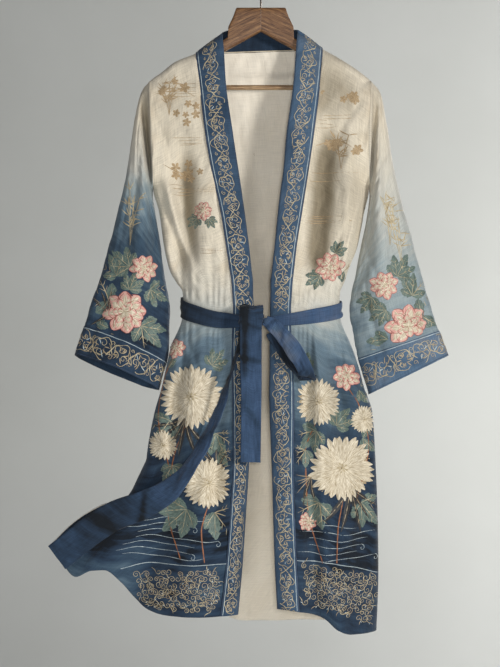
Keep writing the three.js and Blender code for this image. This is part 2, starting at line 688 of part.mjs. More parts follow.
// Belt: the body's own shape at each height, moved out to clear it.
function beltPoint(angle, down) {
  const left = robeAt.left(down) - beltOut;
  const right = robeAt.right(down) + beltOut;
  const x = (left + right) / 2 + ((right - left) / 2) * Math.sin(angle);
  const round = oval(Math.sin(angle), ovalPower);
  const front = Math.cos(angle) > 0;
  const deep = front ? -robeAt.front(down) - beltOut : robeAt.back(down) + beltOut;
  return new THREE.Vector3(x, deep * round, -down);
}

function makeBeltWrap() {
  const angles = spread(beltSteps).slice(0, -1).map((share) => (share * 2 - 0.5) * Math.PI);
  const lines = [-0.5, 0, 0.5].map((side) =>
    angles.map((angle) => beltPoint(angle, beltAt.down(angle) + side * beltAt.width(angle))),
  );
  return clothWall(lines, { wrapped: true, thick: beltThick, flip: true });
}

// A strip along a table of rows, with its width turned about its own length.
function makeStrip(table, steps, across = 2) {
  const count = table.length - 1;
  const keyed = table.map((row, i) => ({ ...row, at: i / count }));
  const read = columnsOf(keyed, "at");
  const centre = (s) => new THREE.Vector3(read.x(s), read.y(s), -read.down(s));
  const grid = spread(steps).map((s) => {
    const ahead = centre(Math.min(1, s + 0.01)).sub(centre(Math.max(0, s - 0.01))).normalize();
    const flat = new THREE.Vector3(0, -1, 0).cross(ahead).normalize();
    flat.applyAxisAngle(ahead, radians(read.turn(s)));
    return spread(across).map((w) => centre(s).addScaledVector(flat, (w - 0.5) * read.width(s)));
  });
  return clothWall(grid, { thick: beltThick });
}

function makeKnot() {
  const geometry = new THREE.SphereGeometry(1, 14, 8);
  const squeeze = (v) => Math.sign(v) * Math.abs(v) ** 0.75;
  const place = geometry.getAttribute("position");
  for (let i = 0; i < place.count; i += 1) {
    place.setXYZ(
      i,
      knot.x + knot.halfWide * squeeze(place.getX(i)),
      knot.y + knot.halfDeep * squeeze(place.getZ(i)),
      -knot.down + knot.halfHigh * squeeze(place.getY(i)),
    );
  }
  return closed(geometry);
}

// Merges a geometry's shared points, so that it is one closed body with its faces out.
function closed(geometry) {
  geometry.deleteAttribute("normal");
  geometry.deleteAttribute("uv");
  const merged = mergeVertices(geometry, 1e-3);
  return solidFrom([...merged.getAttribute("position").array], [...merged.index.array]);
}

// Hanger
const collarUnder = 12;
const shoulderUnder = 5;

// The arm's top: the block outside the neck, then just under the cloth.
function armTopDown(x, sign) {
  const block = straight(armTop, "x", "down")(x);
  const seam = Math.abs(sign < 0 ? robe[0].seamL : robe[0].seamR);
  const under = mix(collarUnder, shoulderUnder, ease((x - seam + 4) / 10));
  const cloth = shoulderAt(sign * x) + under;
  return x <= 66 ? block : cloth;
}

function makeArm(sign) {
  const sides = 12;
  const grid = armStations.map((station) => {
    const x = Math.max(station, seamGap / 2);
    const top = armTopDown(x, sign);
    const under = straight(armUnder, "x", "down")(x);
    const ending = Math.max(0, (x - 190) / (armEnd - 190));
    const thick = hangerHalfThick * Math.sqrt(1 - 0.6 * ending * ending);
    const high = ((under - top) / 2) * Math.sqrt(1 - 0.5 * ending * ending);
    return spread(sides).slice(0, -1).map((share) => {
      const angle = share * 2 * Math.PI;
      const box = (v) => Math.sign(v) * Math.abs(v) ** 0.64;
      return new THREE.Vector3(
        sign * x,
        thick * box(Math.sin(angle)),
        -(top + under) / 2 + high * box(Math.cos(angle)),
      );
    });
  });
  const arm = manifoldOf(capped(grid));
  const drill = new THREE.CylinderGeometry(barHole, barHole, barSeat + barPlay, 16);
  drill.rotateZ(Math.PI / 2).translate((sign * (barSeat + barPlay)) / 2, 0, -barDown);
  return geometryOf(arm.subtract(manifoldOf(closed(drill))));
}

// A closed solid through rings, with a flat cap on each end.
function capped(rings) {
  const sides = rings[0].length;
  const positions = rings.flat().flatMap((p) => [p.x, p.y, p.z]);
  const faces = [];
  for (let j = 0; j < rings.length - 1; j += 1) {
    for (let i = 0; i < sides; i += 1) {
      const next = (i + 1) % sides;
      const [a, b, c, d] = [j * sides + i, j * sides + next, (j + 1) * sides + next, (j + 1) * sides + i];
      faces.push(a, b, c, a, c, d);
    }
  }
  const end = (rings.length - 1) * sides;
  for (let i = 1; i < sides - 1; i += 1) {
    faces.push(0, i + 1, i, end, end + i, end + i + 1);
  }
  return solidFrom(positions, faces);
}

function manifoldOf(geometry) {
  return new wasm.Manifold(
    new wasm.Mesh({
      numProp: 3,
      vertProperties: new Float32Array(geometry.getAttribute("position").array),
      triVerts: new Uint32Array(geometry.index.array),
    }),
  );
}

function geometryOf(manifold) {
  const mesh = manifold.getMesh();
  const positions = [];
  for (let i = 0; i < mesh.numVert; i += 1) {
    positions.push(...mesh.vertProperties.subarray(i * mesh.numProp, i * mesh.numProp + 3));
  }
  return solidFrom(positions, [...mesh.triVerts]);
}

function makeBar() {
  const bar = new THREE.CylinderGeometry(barRadius, barRadius, 2 * barSeat, 16);
  bar.rotateZ(Math.PI / 2).translate(0, 0, -barDown);
  return closed(bar);
}

// The hook: a straight stem, a bend to one side, then the half ring over the rail.
function makeHook() {
  const bend = hookBend + hookWire;
  const points = [new THREE.Vector3(0, 0, -hangerTop + seamGap), new THREE.Vector3(0, 0, -62)];
  points.push(new THREE.Vector3(4, 0, -52), new THREE.Vector3(14, 0, -40));
  for (let k = 0; k <= 10; k += 1) {
    const angle = radians(-20 + 22 * k);
    points.push(new THREE.Vector3(bend * Math.cos(angle), 0, -hookBend + bend * Math.sin(angle)));
  }
  const path = new THREE.CatmullRomCurve3(points);
  const section = new THREE.Shape();
  section.absarc(0, 0, hookWire, 0, 2 * Math.PI);
  const wire = new THREE.ExtrudeGeometry(section, { steps: 30, curveSegments: 4, extrudePath: path });
  return closed(wire);
}

const robeGroup = new THREE.Group();

function add(name, geometry, colour, roughness = 0.9, metalness = 0) {
  const material = new THREE.MeshStandardMaterial({ color: colour, roughness, metalness });
  const mesh = new THREE.Mesh(geometry, material);
  mesh.name = name;
  robeGroup.add(mesh);
}

add("front_right", makeFront(true), colours.skirt);
add("front_left", makeFront(false), colours.skirt);
add("back", makeBack(), colours.linen);
add("collar", makeCollar(), colours.band);
add("sleeve_right", makeTube(sleeveOnLeft, true, [...sleeveStations, cuffFrom]), colours.sleeve);
add("sleeve_left", makeTube(sleeveOnRight, false, [...sleeveStations, cuffFrom]), colours.sleeve);
const cuffStations = [cuffFrom + cuffStep / 500, (cuffFrom + 1) / 2, 1];
add("cuff_right", makeTube(sleeveOnLeft, true, cuffStations), colours.band);
add("cuff_left", makeTube(sleeveOnRight, false, cuffStations), colours.band);
add("belt_wrap", makeBeltWrap(), colours.belt);
add("belt_knot", makeKnot(), colours.belt);
add("belt_tail_front", makeStrip(tailFront, 16), colours.belt);
add("belt_tail_blown", makeStrip(tailBlown, 22), colours.belt);
add("belt_loop", makeStrip(beltLoop, 20), colours.belt);
add("hanger_arm_right", makeArm(-1), colours.wood, 0.6);
add("hanger_arm_left", makeArm(1), colours.wood, 0.6);
add("hanger_bar", makeBar(), colours.wood, 0.5);
add("hanger_hook", makeHook(), colours.wire, 0.4, 0.9);

export default robeGroup;
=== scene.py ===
import math

import bpy
import numpy as np
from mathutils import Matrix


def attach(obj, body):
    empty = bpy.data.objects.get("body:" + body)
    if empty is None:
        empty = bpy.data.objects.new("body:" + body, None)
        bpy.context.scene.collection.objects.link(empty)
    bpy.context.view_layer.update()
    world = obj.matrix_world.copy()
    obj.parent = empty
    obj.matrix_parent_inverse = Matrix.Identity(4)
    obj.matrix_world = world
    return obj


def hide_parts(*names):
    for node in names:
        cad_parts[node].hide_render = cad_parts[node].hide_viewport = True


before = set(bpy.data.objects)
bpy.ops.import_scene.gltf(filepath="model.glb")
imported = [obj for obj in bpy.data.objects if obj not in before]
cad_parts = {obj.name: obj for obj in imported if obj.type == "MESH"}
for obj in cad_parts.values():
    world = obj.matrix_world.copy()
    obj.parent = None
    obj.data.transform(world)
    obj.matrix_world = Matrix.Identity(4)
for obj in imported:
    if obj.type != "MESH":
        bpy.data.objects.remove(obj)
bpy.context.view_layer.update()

# Kimono robe of washed linen on a wooden hanger, seen from the front.
# Sizes are millimetres here, and each mesh is written in metres.
# x runs to the viewer's right, "down" is measured below the inside of the hook,
# and y grows away from the viewer.

print("frame loaded")


# small helpers

def readCurve(xs, ys):
    # a cubic between each two of the points (xs, ys), whose slope at a point is the harmonic
    # mean of the slopes beside it, or level at a turn, so that it never overshoots
    xs = np.asarray(xs, float)
    ys = np.asarray(ys, float)
    step = np.diff(xs)
    slope = np.diff(ys) / step
    tangent = np.concatenate([slope[:1], np.zeros(len(xs) - 2), slope[-1:]])
    sameWay = slope[:-1] * slope[1:] > 0
    total = np.where(sameWay, slope[:-1] + slope[1:], 1.0)
    tangent[1:-1] = np.where(sameWay, 2 * slope[:-1] * slope[1:] / total, 0.0)

    def read(at):
        # past either end the curve stays at its end value
        at = np.clip(at, xs[0], xs[-1])
        i = np.clip(np.searchsorted(xs, at, side="right") - 1, 0, len(xs) - 2)
        s = (at - xs[i]) / step[i]
        first = (1 + 2 * s) * (1 - s) ** 2 * ys[i] + s * (1 - s) ** 2 * step[i] * tangent[i]
        return first + s * s * (3 - 2 * s) * ys[i + 1] + s * s * (s - 1) * step[i] * tangent[i + 1]
    return read


def readTable(table, key):
    # one curve for each column of a table, all read along the key column
    return {name: readCurve(table[key], table[name]) for name in table if name != key}


def mix(a, b, share):
    # a, plus a share of the way to b
    return a + (b - a) * share


def ease(v):
    # 0 below 0, 1 above 1, and a smooth step between
    v = np.clip(v, 0, 1)
    return v * v * (3 - 2 * v)


def squared(wave, power):
    # a sine or cosine raised to a power below 1 with its sign kept, which squares a circle up
    return np.sign(wave) * np.abs(wave) ** power


def bell(off):
    # 1 in the middle, falling away as e to the minus square on both sides
    return np.exp(-off ** 2)


def rumple(a, b, seed, size):
    # uneven cloth: the sum of fourteen plane waves of about one size in random directions,
    # over the root of their number
    count = 14
    rng = np.random.default_rng(seed)
    total = np.zeros(np.broadcast(a, b).shape)
    for _ in range(count):
        heading = rng.uniform(0, 2 * np.pi)
        length = size * rng.uniform(0.6, 1.7)
        phase = rng.uniform(0, 2 * np.pi)
        total += np.sin(2 * np.pi * (a * np.cos(heading) + b * np.sin(heading)) / length + phase)
    return total / math.sqrt(count)


def creases(a, b, table):
    # each row is a line on the cloth from (a0, b0) to (a1, b1) with a half width and a depth;
    # the dent is a bell across the line that fades at its ends
    total = np.zeros(np.broadcast(a, b).shape)
    for a0, b0, a1, b1, width, depth in table:
        da, db = a1 - a0, b1 - b0
        length = math.hypot(da, db)
        along = ((a - a0) * da + (b - b0) * db) / length ** 2
        off = ((a - a0) * db - (b - b0) * da) / length
        total += depth * ease((along + 0.15) / 0.4) * ease((1.15 - along) / 0.4) * bell(off / width)
    return total


def gridNormals(points):
    # the cross product of the differences along the rows and down the columns
    across = np.gradient(points, axis=1)
    down = np.gradient(points, axis=0)
    normal = np.cross(across, down)
    return normal / np.maximum(np.linalg.norm(normal, axis=2, keepdims=True), 1e-9)


def arcLengths(points, axis):
    # the running length along a grid's axis, 0 at its start
    step = np.linalg.norm(np.diff(points, axis=axis), axis=2)
    pad = [(1, 0), (0, 0)] if axis == 0 else [(0, 0), (1, 0)]
    return np.pad(np.cumsum(step, axis=axis), pad)


def makeMesh(name, points, faces, uv=None, values=None, flatEnds=0):
    # points in mm become a mesh in metres; uv is per point, and so are the named values;
    # every face is shaded smooth but the last few, the flat ends
    mesh = bpy.data.meshes.new(name)
    mesh.from_pydata((points.reshape(-1, 3) * 0.001).tolist(), [], faces)
    corner = np.empty(len(mesh.loops), dtype=np.int32)
    mesh.loops.foreach_get("vertex_index", corner)
    if uv is not None:
        layer = mesh.uv_layers.new(name="cut")
        layer.data.foreach_set("uv", uv.reshape(-1, 2)[corner].astype(np.float32).ravel())
    for key, data in (values or {}).items():
        item = mesh.attributes.new(key, "FLOAT", "POINT")
        item.data.foreach_set("value", np.asarray(data, np.float32).ravel())
    faceCount = len(mesh.polygons)
    mesh.polygons.foreach_set("use_smooth", np.arange(faceCount) < faceCount - flatEnds)
    piece = bpy.data.objects.new(name, mesh)
    bpy.context.scene.collection.objects.link(piece)
    return piece


def settle(piece, slotName, finishes, node=None):
    # a piece gets its finishes and rides on the one body; the slot name is not used. One that stands for
    # a node of the frame takes its place
    for finish in finishes:
        piece.data.materials.append(finish)
    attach(piece, "root")
    if node:
        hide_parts(node)
    return piece


def gridQuads(rows, cols, wrapped=False, flip=False):
    # four corners for every cell of a grid; a wrapped grid closes across
    j, i = np.meshgrid(np.arange(rows - 1), np.arange(cols if wrapped else cols - 1), indexing="ij")
    nextCol = (i + 1) % cols
    here, below = j * cols, (j + 1) * cols
    quads = np.stack([here + i, here + nextCol, below + nextCol, below + i], axis=-1).reshape(-1, 4)
    return quads[:, ::-1] if flip else quads


def tubeFaces(rows, cols, flip):
    # a wrapped grid of four-cornered faces, and one many-cornered face over each end
    faces = gridQuads(rows, cols, wrapped=True, flip=flip).tolist()
    ends = [list(range(cols)), list(range(rows * cols - 1, (rows - 1) * cols - 1, -1))]
    return faces + [end if flip else end[::-1] for end in ends]


def clothPiece(name, points, look, wrapped=False, flip=False, uv=None, values=None):
    # a sheet with its outer face on the points; Solidify gives it its inner face
    rows, cols = points.shape[:2]
    if uv is None:
        uv = np.stack([arcLengths(points, 1), arcLengths(points, 0)], axis=-1) * 0.001
    piece = makeMesh(name + "_cloth", points, gridQuads(rows, cols, wrapped, flip).tolist(), uv, values)
    wall = piece.modifiers.new("wall", "SOLIDIFY")
    wall.thickness = look["thick"] * 0.001
    wall.offset = -1
    wall.use_rim = True
    if len(look["materials"]) > 1:
        wall.material_offset = 1
    return settle(piece, look["slot"], look["materials"], name)


# materials

def linear(hexColour):
    # sRGB hex to the linear colour that Blender's sockets take: a small channel is divided by
    # 12.92, and a larger one is raised to the power 2.4
    parts = [int(hexColour[i:i + 2], 16) / 255 for i in (1, 3, 5)]
    return [p / 12.92 if p <= 0.04045 else ((p + 0.055) / 1.055) ** 2.4 for p in parts] + [1]


def addNode(tree, kind, links=None, **settings):
    # a node with its settings; links holds a socket to join or a value to set, by input
    node = tree.nodes.new(kind)
    for key, value in settings.items():
        setattr(node, key, value)
    for key, source in (links or {}).items():
        if hasattr(source, "is_output"):
            tree.links.new(source, node.inputs[key])
        else:
            node.inputs[key].default_value = source
    return node


def newMaterial(name):
    # an empty material with its node tree and its one shader
    finish = bpy.data.materials.new(name)
    finish.use_nodes = True
    tree = finish.node_tree
    return finish, tree, tree.nodes["Principled BSDF"]


def setRamp(ramp, stops):
    # stops are (place, hex), and the ramp's first two marks are there already
    marks = ramp.color_ramp.elements
    while len(marks) < len(stops):
        marks.new(0.5)
    for mark, (place, hexColour) in zip(marks, stops):
        mark.position = place
        mark.color = linear(hexColour)


linen = {
    "threadPitch": 2.2,    # mm; the real thread is 0.6 mm, drawn coarser so that it shows
    "slubLong": 34,        # mm, length of a thick stretch of yarn
    "slubWide": 1.5,       # mm
    "weaveDepth": 0.16,    # mm
    "slubDepth": 0.42,     # mm
    "wrinkleDepth": 1.6,   # mm, the crumple that washing leaves
    "wrinkles": (95, 26, 1),    # for each metre across and along
    "brush": (7, 60, 1),   # strokes of dye for each metre across and along
    "clouds": 9.0,         # dye clouds for each metre
    "patches": 7.0,        # yellowed patches for each metre
    "roughness": 0.86,
    # the lining's cream is lighter than the outer face's: partly painted light, standing in for light through
    # the thin cloth
    "lining": ("#f4eddf", "#ece2d0"),
    # the darkest stops of these ramps are reached where painted shade deepens the dye
    "border": [(0.0, "#6f87a0"), (0.3, "#4d6680"), (0.6, "#31475f"), (1.0, "#1c2a3b")],
    "sash": [(0.0, "#5d7691"), (0.3, "#41597a"), (0.6, "#2b3f57"), (1.0, "#10171f")],
    "dye": [(0.0, "#e4dac6"), (0.18, "#cbcac1"), (0.34, "#9ba8ab"), (0.52, "#6a7f8d"),
            (0.7, "#3d5264"), (0.84, "#2a3d52"), (0.93, "#203043"), (1.0, "#111a25")],
}


def washedLinen(name, stops=None, plain=None, grime=0.1):
    # plain-woven flax, washed: thick and thin yarns cross each other, the surface is
    # matt with a faint fuzz, and dye takes unevenly along the yarns
    finish, tree, shader = newMaterial(name)
    cut = addNode(tree, "ShaderNodeUVMap", uv_map="cut")
    warp = addNode(tree, "ShaderNodeMapping", {"Vector": cut.outputs["UV"],
            "Scale": (1000 / linen["slubWide"], 1000 / linen["slubLong"], 1)})
    weft = addNode(tree, "ShaderNodeMapping", {"Vector": cut.outputs["UV"],
            "Scale": (1000 / linen["slubLong"], 1000 / linen["slubWide"], 1)})
    warpYarn = addNode(tree, "ShaderNodeTexNoise", {"Vector": warp.outputs[0], "Scale": 1.0,
            "Detail": 2.0, "Roughness": 0.6}, noise_dimensions="2D")
    weftYarn = addNode(tree, "ShaderNodeTexNoise", {"Vector": weft.outputs[0], "Scale": 1.0,
            "Detail": 2.0, "Roughness": 0.6}, noise_dimensions="2D")
    yarns = addNode(tree, "ShaderNodeMath", {0: warpYarn.outputs["Fac"], 1: weftYarn.outputs["Fac"]},
            operation="ADD")
    # a wave's bands repeat every 0.314 / scale
    waveScale = 0.314 / (linen["threadPitch"] * 0.001)
    overUnder = [addNode(tree, "ShaderNodeTexWave", {"Vector": cut.outputs["UV"], "Scale": waveScale,
            "Distortion": 1.2, "Detail": 1.0, "Detail Scale": 0.6},
            bands_direction=way) for way in ("X", "Y")]
    weave = addNode(tree, "ShaderNodeMath", {0: overUnder[0].outputs["Fac"], 1: overUnder[1].outputs["Fac"]},
            operation="MULTIPLY")
    cloud = addNode(tree, "ShaderNodeTexNoise", {"Vector": cut.outputs["UV"], "Scale": linen["clouds"],
            "Detail": 4.0, "Roughness": 0.6}, noise_dimensions="2D")
    if plain:
        base = addNode(tree, "ShaderNodeMix", {"Factor": cloud.outputs["Fac"], "A": linear(plain[0]),
                "B": linear(plain[1])}, data_type="RGBA")
        colour = base.outputs["Result"]
    else:
        dye = addNode(tree, "ShaderNodeAttribute", attribute_name="dye")
        brushMap = addNode(tree, "ShaderNodeMapping", {"Vector": cut.outputs["UV"],
                "Scale": linen["brush"]})
        brush = addNode(tree, "ShaderNodeTexNoise", {"Vector": brushMap.outputs[0], "Scale": 1.0,
                "Detail": 5.0, "Roughness": 0.62}, noise_dimensions="2D")
        uneven = addNode(tree, "ShaderNodeMath", {0: brush.outputs["Fac"], 1: cloud.outputs["Fac"]},
                operation="ADD")
        centred = addNode(tree, "ShaderNodeMath", {0: uneven.outputs[0], 1: -1.0}, operation="ADD")
        # the dye wanders only where there is some
        taken = addNode(tree, "ShaderNodeMath", {0: dye.outputs["Fac"], 1: 0.55}, operation="MULTIPLY")
        wander = addNode(tree, "ShaderNodeMath", {0: centred.outputs[0], 1: taken.outputs[0]},
                operation="MULTIPLY")
        total = addNode(tree, "ShaderNodeMath", {0: dye.outputs["Fac"], 1: wander.outputs[0]},
                operation="ADD")
        ramp = addNode(tree, "ShaderNodeValToRGB", {"Fac": total.outputs[0]})
        setRamp(ramp, stops)
        # the undyed cloth has yellowed in soft patches
        patch = addNode(tree, "ShaderNodeTexNoise", {"Vector": cut.outputs["UV"], "Scale": linen["patches"],
                "Detail": 3.0, "Roughness": 0.55, "Distortion": 0.4}, noise_dimensions="2D")
        yellowed = addNode(tree, "ShaderNodeMapRange", {"Value": patch.outputs["Fac"], "From Min": 0.46,
                "From Max": 0.74, "To Min": 0.0, "To Max": 0.5})
        undyed = addNode(tree, "ShaderNodeMapRange", {"Value": total.outputs[0], "From Min": 0.05,
                "From Max": 0.4, "To Min": 1.0, "To Max": 0.0})
        share = addNode(tree, "ShaderNodeMath", {0: yellowed.outputs[0], 1: undyed.outputs[0]},
                operation="MULTIPLY")
        aged = addNode(tree, "ShaderNodeMix", {"Factor": share.outputs[0], "A": ramp.outputs["Color"],
                "B": linear("#b9a079")}, data_type="RGBA")
        # painted shade where the folds are deep and in the sleeves' hollows, with soft patches that are
        # partly stains, darkens the colour towards a dull brown
        shadeAndStain = addNode(tree, "ShaderNodeAttribute", attribute_name="shadeAndStain")
        darkShare = addNode(tree, "ShaderNodeMath", {0: shadeAndStain.outputs["Fac"], 1: 0.75}, operation="MULTIPLY")
        shadedAndStained = addNode(tree, "ShaderNodeMix", {"Factor": darkShare.outputs[0], "A": aged.outputs["Result"],
                "B": linear("#6f6448")}, data_type="RGBA", blend_type="MULTIPLY")
        colour = shadedAndStained.outputs["Result"]
    shade = addNode(tree, "ShaderNodeMapRange", {"Value": yarns.outputs[0], "From Min": 0.6, "From Max": 1.4,
            "To Min": 1 - 2 * grime, "To Max": 1 + grime})
    tinted = addNode(tree, "ShaderNodeMix", {"Factor": 1.0, "A": colour, "B": shade.outputs[0]},
            data_type="RGBA", blend_type="MULTIPLY")
    tree.links.new(tinted.outputs["Result"], shader.inputs["Base Color"])
    wrinkleMap = addNode(tree, "ShaderNodeMapping", {"Vector": cut.outputs["UV"], "Scale": linen["wrinkles"]})
    wrinkle = addNode(tree, "ShaderNodeTexNoise", {"Vector": wrinkleMap.outputs[0], "Scale": 1.0,
            "Detail": 4.0, "Roughness": 0.5, "Distortion": 0.6}, noise_dimensions="2D")
    crumple = addNode(tree, "ShaderNodeBump", {"Height": wrinkle.outputs["Fac"], "Strength": 0.7,
            "Distance": linen["wrinkleDepth"] * 0.001})
    slub = addNode(tree, "ShaderNodeBump", {"Height": yarns.outputs[0], "Strength": 0.6,
            "Distance": linen["slubDepth"] * 0.001, "Normal": crumple.outputs[0]})
    cross = addNode(tree, "ShaderNodeBump", {"Height": weave.outputs[0], "Strength": 0.5,
            "Distance": linen["weaveDepth"] * 0.001, "Normal": slub.outputs[0]})
    tree.links.new(cross.outputs[0], shader.inputs["Normal"])
    shader.inputs["Roughness"].default_value = linen["roughness"]
    shader.inputs["Sheen Weight"].default_value = 0.12
    shader.inputs["Sheen Roughness"].default_value = 0.5
    shader.inputs["Specular IOR Level"].default_value = 0.25
    return finish


def threadFloss(name, hexColour, strandShade):
    # stranded cotton floss, twisted: a soft shine, and strands side by side along the stitch,
    # about 0.9 mm apart where the real ones are 0.3 mm, so that they show; the darker colour between the
    # strands is painted shade
    finish, tree, shader = newMaterial(name)
    cut = addNode(tree, "ShaderNodeUVMap", uv_map="cut")
    strands = addNode(tree, "ShaderNodeMapping", {"Vector": cut.outputs["UV"], "Scale": (1100, 70, 1)})
    grain = addNode(tree, "ShaderNodeTexNoise", {"Vector": strands.outputs[0], "Scale": 1.0,
            "Detail": 2.0}, noise_dimensions="2D")
    lie = addNode(tree, "ShaderNodeMapRange", {"Value": grain.outputs["Fac"], "From Min": 0.36,
            "From Max": 0.62})
    tone = addNode(tree, "ShaderNodeMix", {"Factor": lie.outputs[0], "A": linear(strandShade),
            "B": linear(hexColour)}, data_type="RGBA")
    tree.links.new(tone.outputs["Result"], shader.inputs["Base Color"])
    ridge = addNode(tree, "ShaderNodeBump", {"Height": grain.outputs["Fac"], "Strength": 0.6,
            "Distance": 0.0004})
    tree.links.new(ridge.outputs[0], shader.inputs["Normal"])
    shader.inputs["Roughness"].default_value = 0.55
    shader.inputs["Sheen Weight"].default_value = 0.2
    return finish


def stainedOak(name, stops):
    # oak planed flat, stained and waxed: open pores up to 14 mm long and 0.7 mm wide,
    # darker late wood, and a thin satin shine
    finish, tree, shader = newMaterial(name)
    place = addNode(tree, "ShaderNodeUVMap", uv_map="cut")
    pull = addNode(tree, "ShaderNodeMapping", {"Vector": place.outputs["UV"], "Scale": (22, 420, 1)})
    grain = addNode(tree, "ShaderNodeTexNoise", {"Vector": pull.outputs[0], "Scale": 1.0, "Detail": 6.0,
            "Roughness": 0.62, "Distortion": 0.5}, noise_dimensions="2D")
    poreMap = addNode(tree, "ShaderNodeMapping", {"Vector": place.outputs["UV"], "Scale": (70, 1500, 1)})
    pores = addNode(tree, "ShaderNodeTexNoise", {"Vector": poreMap.outputs[0], "Scale": 1.0, "Detail": 3.0},
            noise_dimensions="2D")
    ramp = addNode(tree, "ShaderNodeValToRGB", {"Fac": grain.outputs["Fac"]})
    setRamp(ramp, stops)
    dark = addNode(tree, "ShaderNodeMapRange", {"Value": pores.outputs["Fac"], "From Min": 0.34,
            "From Max": 0.46, "To Min": 0.45, "To Max": 1.0})
    tone = addNode(tree, "ShaderNodeMix", {"Factor": 1.0, "A": ramp.outputs["Color"], "B": dark.outputs[0]},
            data_type="RGBA", blend_type="MULTIPLY")
    tree.links.new(tone.outputs["Result"], shader.inputs["Base Color"])
    bump = addNode(tree, "ShaderNodeBump", {"Height": pores.outputs["Fac"], "Strength": 0.4,
            "Distance": 0.0006})
    tree.links.new(bump.outputs[0], shader.inputs["Normal"])
    shader.inputs["Roughness"].default_value = 0.48
    return finish


def platedWire(name):
    # steel wire plated dark bronze: metal with rubbed high spots
    finish, tree, shader = newMaterial(name)
    place = addNode(tree, "ShaderNodeTexCoord")
    rub = addNode(tree, "ShaderNodeTexNoise", {"Vector": place.outputs["Object"], "Scale": 180.0,
            "Detail": 3.0})
    ramp = addNode(tree, "ShaderNodeValToRGB", {"Fac": rub.outputs["Fac"]})
    setRamp(ramp, [(0.35, "#2a2420"), (0.7, "#6a5847")])
    tree.links.new(ramp.outputs["Color"], shader.inputs["Base Color"])
    shader.inputs["Metallic"].default_value = 1.0
    shader.inputs["Roughness"].default_value = 0.38
    return finish


dyedLinen = washedLinen("Linen ombre dyed", linen["dye"], grime=0.13)
liningLinen = washedLinen("Linen undyed lining", plain=linen["lining"], grime=0.05)
indigoLinen = washedLinen("Linen deep indigo", linen["border"], grime=0.16)
sashLinen = washedLinen("Linen slub indigo sash", linen["sash"], grime=0.2)
# the darker colour of each floss is painted shade between its strands
threads = {    # short name: (name, colour, darker colour between the strands)
    "cream": ("Floss cream", "#e6dcc6", "#aa9a7d"),
    "tan": ("Floss tan", "#cdbf9d", "#917f5e"),
    "pale": ("Floss pale blue", "#c3ced0", "#8b9ca4"),
    "pink": ("Floss shell pink", "#e3b7a9", "#c1837a"),
    "red": ("Floss madder red", "#a9584d", "#783a33"),
    "green": ("Floss grey green", "#6f8279", "#3e4f4a"),
    "ink": ("Floss ink black", "#2b2d30", "#121316"),
    "rust": ("Floss rust brown", "#a8683c", "#6b3d22"),
    "navy": ("Floss navy", "#2a3e5c", "#1a2940"),
    "sand": ("Floss sand", "#b9a78a", "#93805f"),
    "umber": ("Floss raw umber", "#bda582", "#927b5a"),
}
threads = {key: threadFloss(*row) for key, row in threads.items()}
threadNames = list(threads)
oak = stainedOak("Oak stained and waxed",
        [(0.28, "#3b2415"), (0.45, "#6b482c"), (0.6, "#8a6440"), (0.78, "#a58058")])
dowelOak = stainedOak("Oak dowel waxed",
        [(0.28, "#6d5139"), (0.45, "#9a7a57"), (0.6, "#b3946d"), (0.78, "#c7ab84")])
bronze = platedWire("Steel wire bronze plated")
print("materials made")


# the cut of the body, as the frame has it

shoulder = {
    "x": [-240, -223, -200, -173, -130, -77, -58, 0, 56, 72, 124, 158, 191, 221, 240],
    "down": [250, 227, 210, 189, 171, 134, 123, 119, 123, 132, 163, 182, 203, 227, 250],
}
robe = {
    "down": [121, 171, 235, 337, 417, 443, 493, 563, 609, 636, 652, 690, 712, 763, 800, 845, 897,
             991, 1087, 1193, 1295],
    "left": [-223, -223, -223, -218, -217, -217, -205, -195, -184, -169, -158, -156, -160, -181, -190,
             -200, -215, -231, -236, -238, -238],
    "right": [221, 221, 221, 215, 217, 218, 208, 194, 176, 167, 160, 158, 162, 183, 196, 208, 225,
              231, 235, 237, 233],
    "front": [50, 50, 52, 57, 60, 61, 62, 64, 62, 58, 55, 55, 56, 68, 73, 77, 81, 86, 90, 94, 97],
    "back": [46, 46, 48, 52, 54, 55, 56, 57, 56, 51, 48, 48, 51, 61, 65, 69, 72, 77, 81, 85, 88],
    "seamL": [-130, -130, -123, -111, -97, -91, -80, -69, -62, -58, -57, -55, -56, -58, -58, -57, -56,
              -55, -60, -68, -78],
    "seamR": [124, 123, 118, 105, 93, 89, 81, 70, 65, 62, 61, 59, 59, 61, 63, 65, 65, 64, 66, 70, 75],
    "openL": [-79, -74, -70, -56, -44, -40, -33, -24, -19, -16, -16, -14, -14, -15, -16, -17, -20,
              -24, -30, -37, -46],
    "openR": [74, 70, 65, 51, 44, 40, 34, 27, 22, 19, 19, 18, 18, 17, 17, 16, 17, 21, 24, 27, 32],
}
body = {
    "foldRadius": 16, "depthGrowth": 120, "ovalPower": 2.6, "shoulderPower": 14, "squareOver": 150,
    "armholeTop": 227, "armholeBottom": 443, "armholeDepth": 40, "collarRise": 38,
    "hem": 1295, "hemTop": 1090, "flareTop": 991, "flareSpan": 1.34, "flareWave": 22, "seam": 0.2,
    "sideCalm": 0.22,    # radians beside each side seam where the folds die out
}
collarTurn = {
    "down": [121, 300, 500, 690, 900, 1090, 1295],
    "left": [0, 3, 10, 8, 22, 30, 30],
    "right": [0, 3, 10, 8, 14, 16, 16],
}
hemDrop = {
    "angle": [-1.6, 0, 0.15, 0.34, 0.56, 0.72, 0.9, 1.57, 2.4, 2.85, 3.28, 3.6, 4.72],
    "drop": [0, 0, -12, -7, 6, 30, 40, 38, 25, 29, 29, 10, 0],
}
flareHem = {
    "share": [0, 0.1, 0.2, 0.3, 0.37, 0.47, 0.56, 0.65, 0.75, 0.88, 1],
    "x": [-424, -400, -371, -338, -313, -279, -254, -226, -186, -112, -58],
    "down": [1161, 1194, 1222, 1209, 1208, 1234, 1264, 1287, 1297, 1300, 1297],
}
flareFollow = {"along": [0, 0.14, 0.31, 0.51, 0.78, 1], "share": [0, 0.07, 0.17, 0.47, 0.79, 1]}
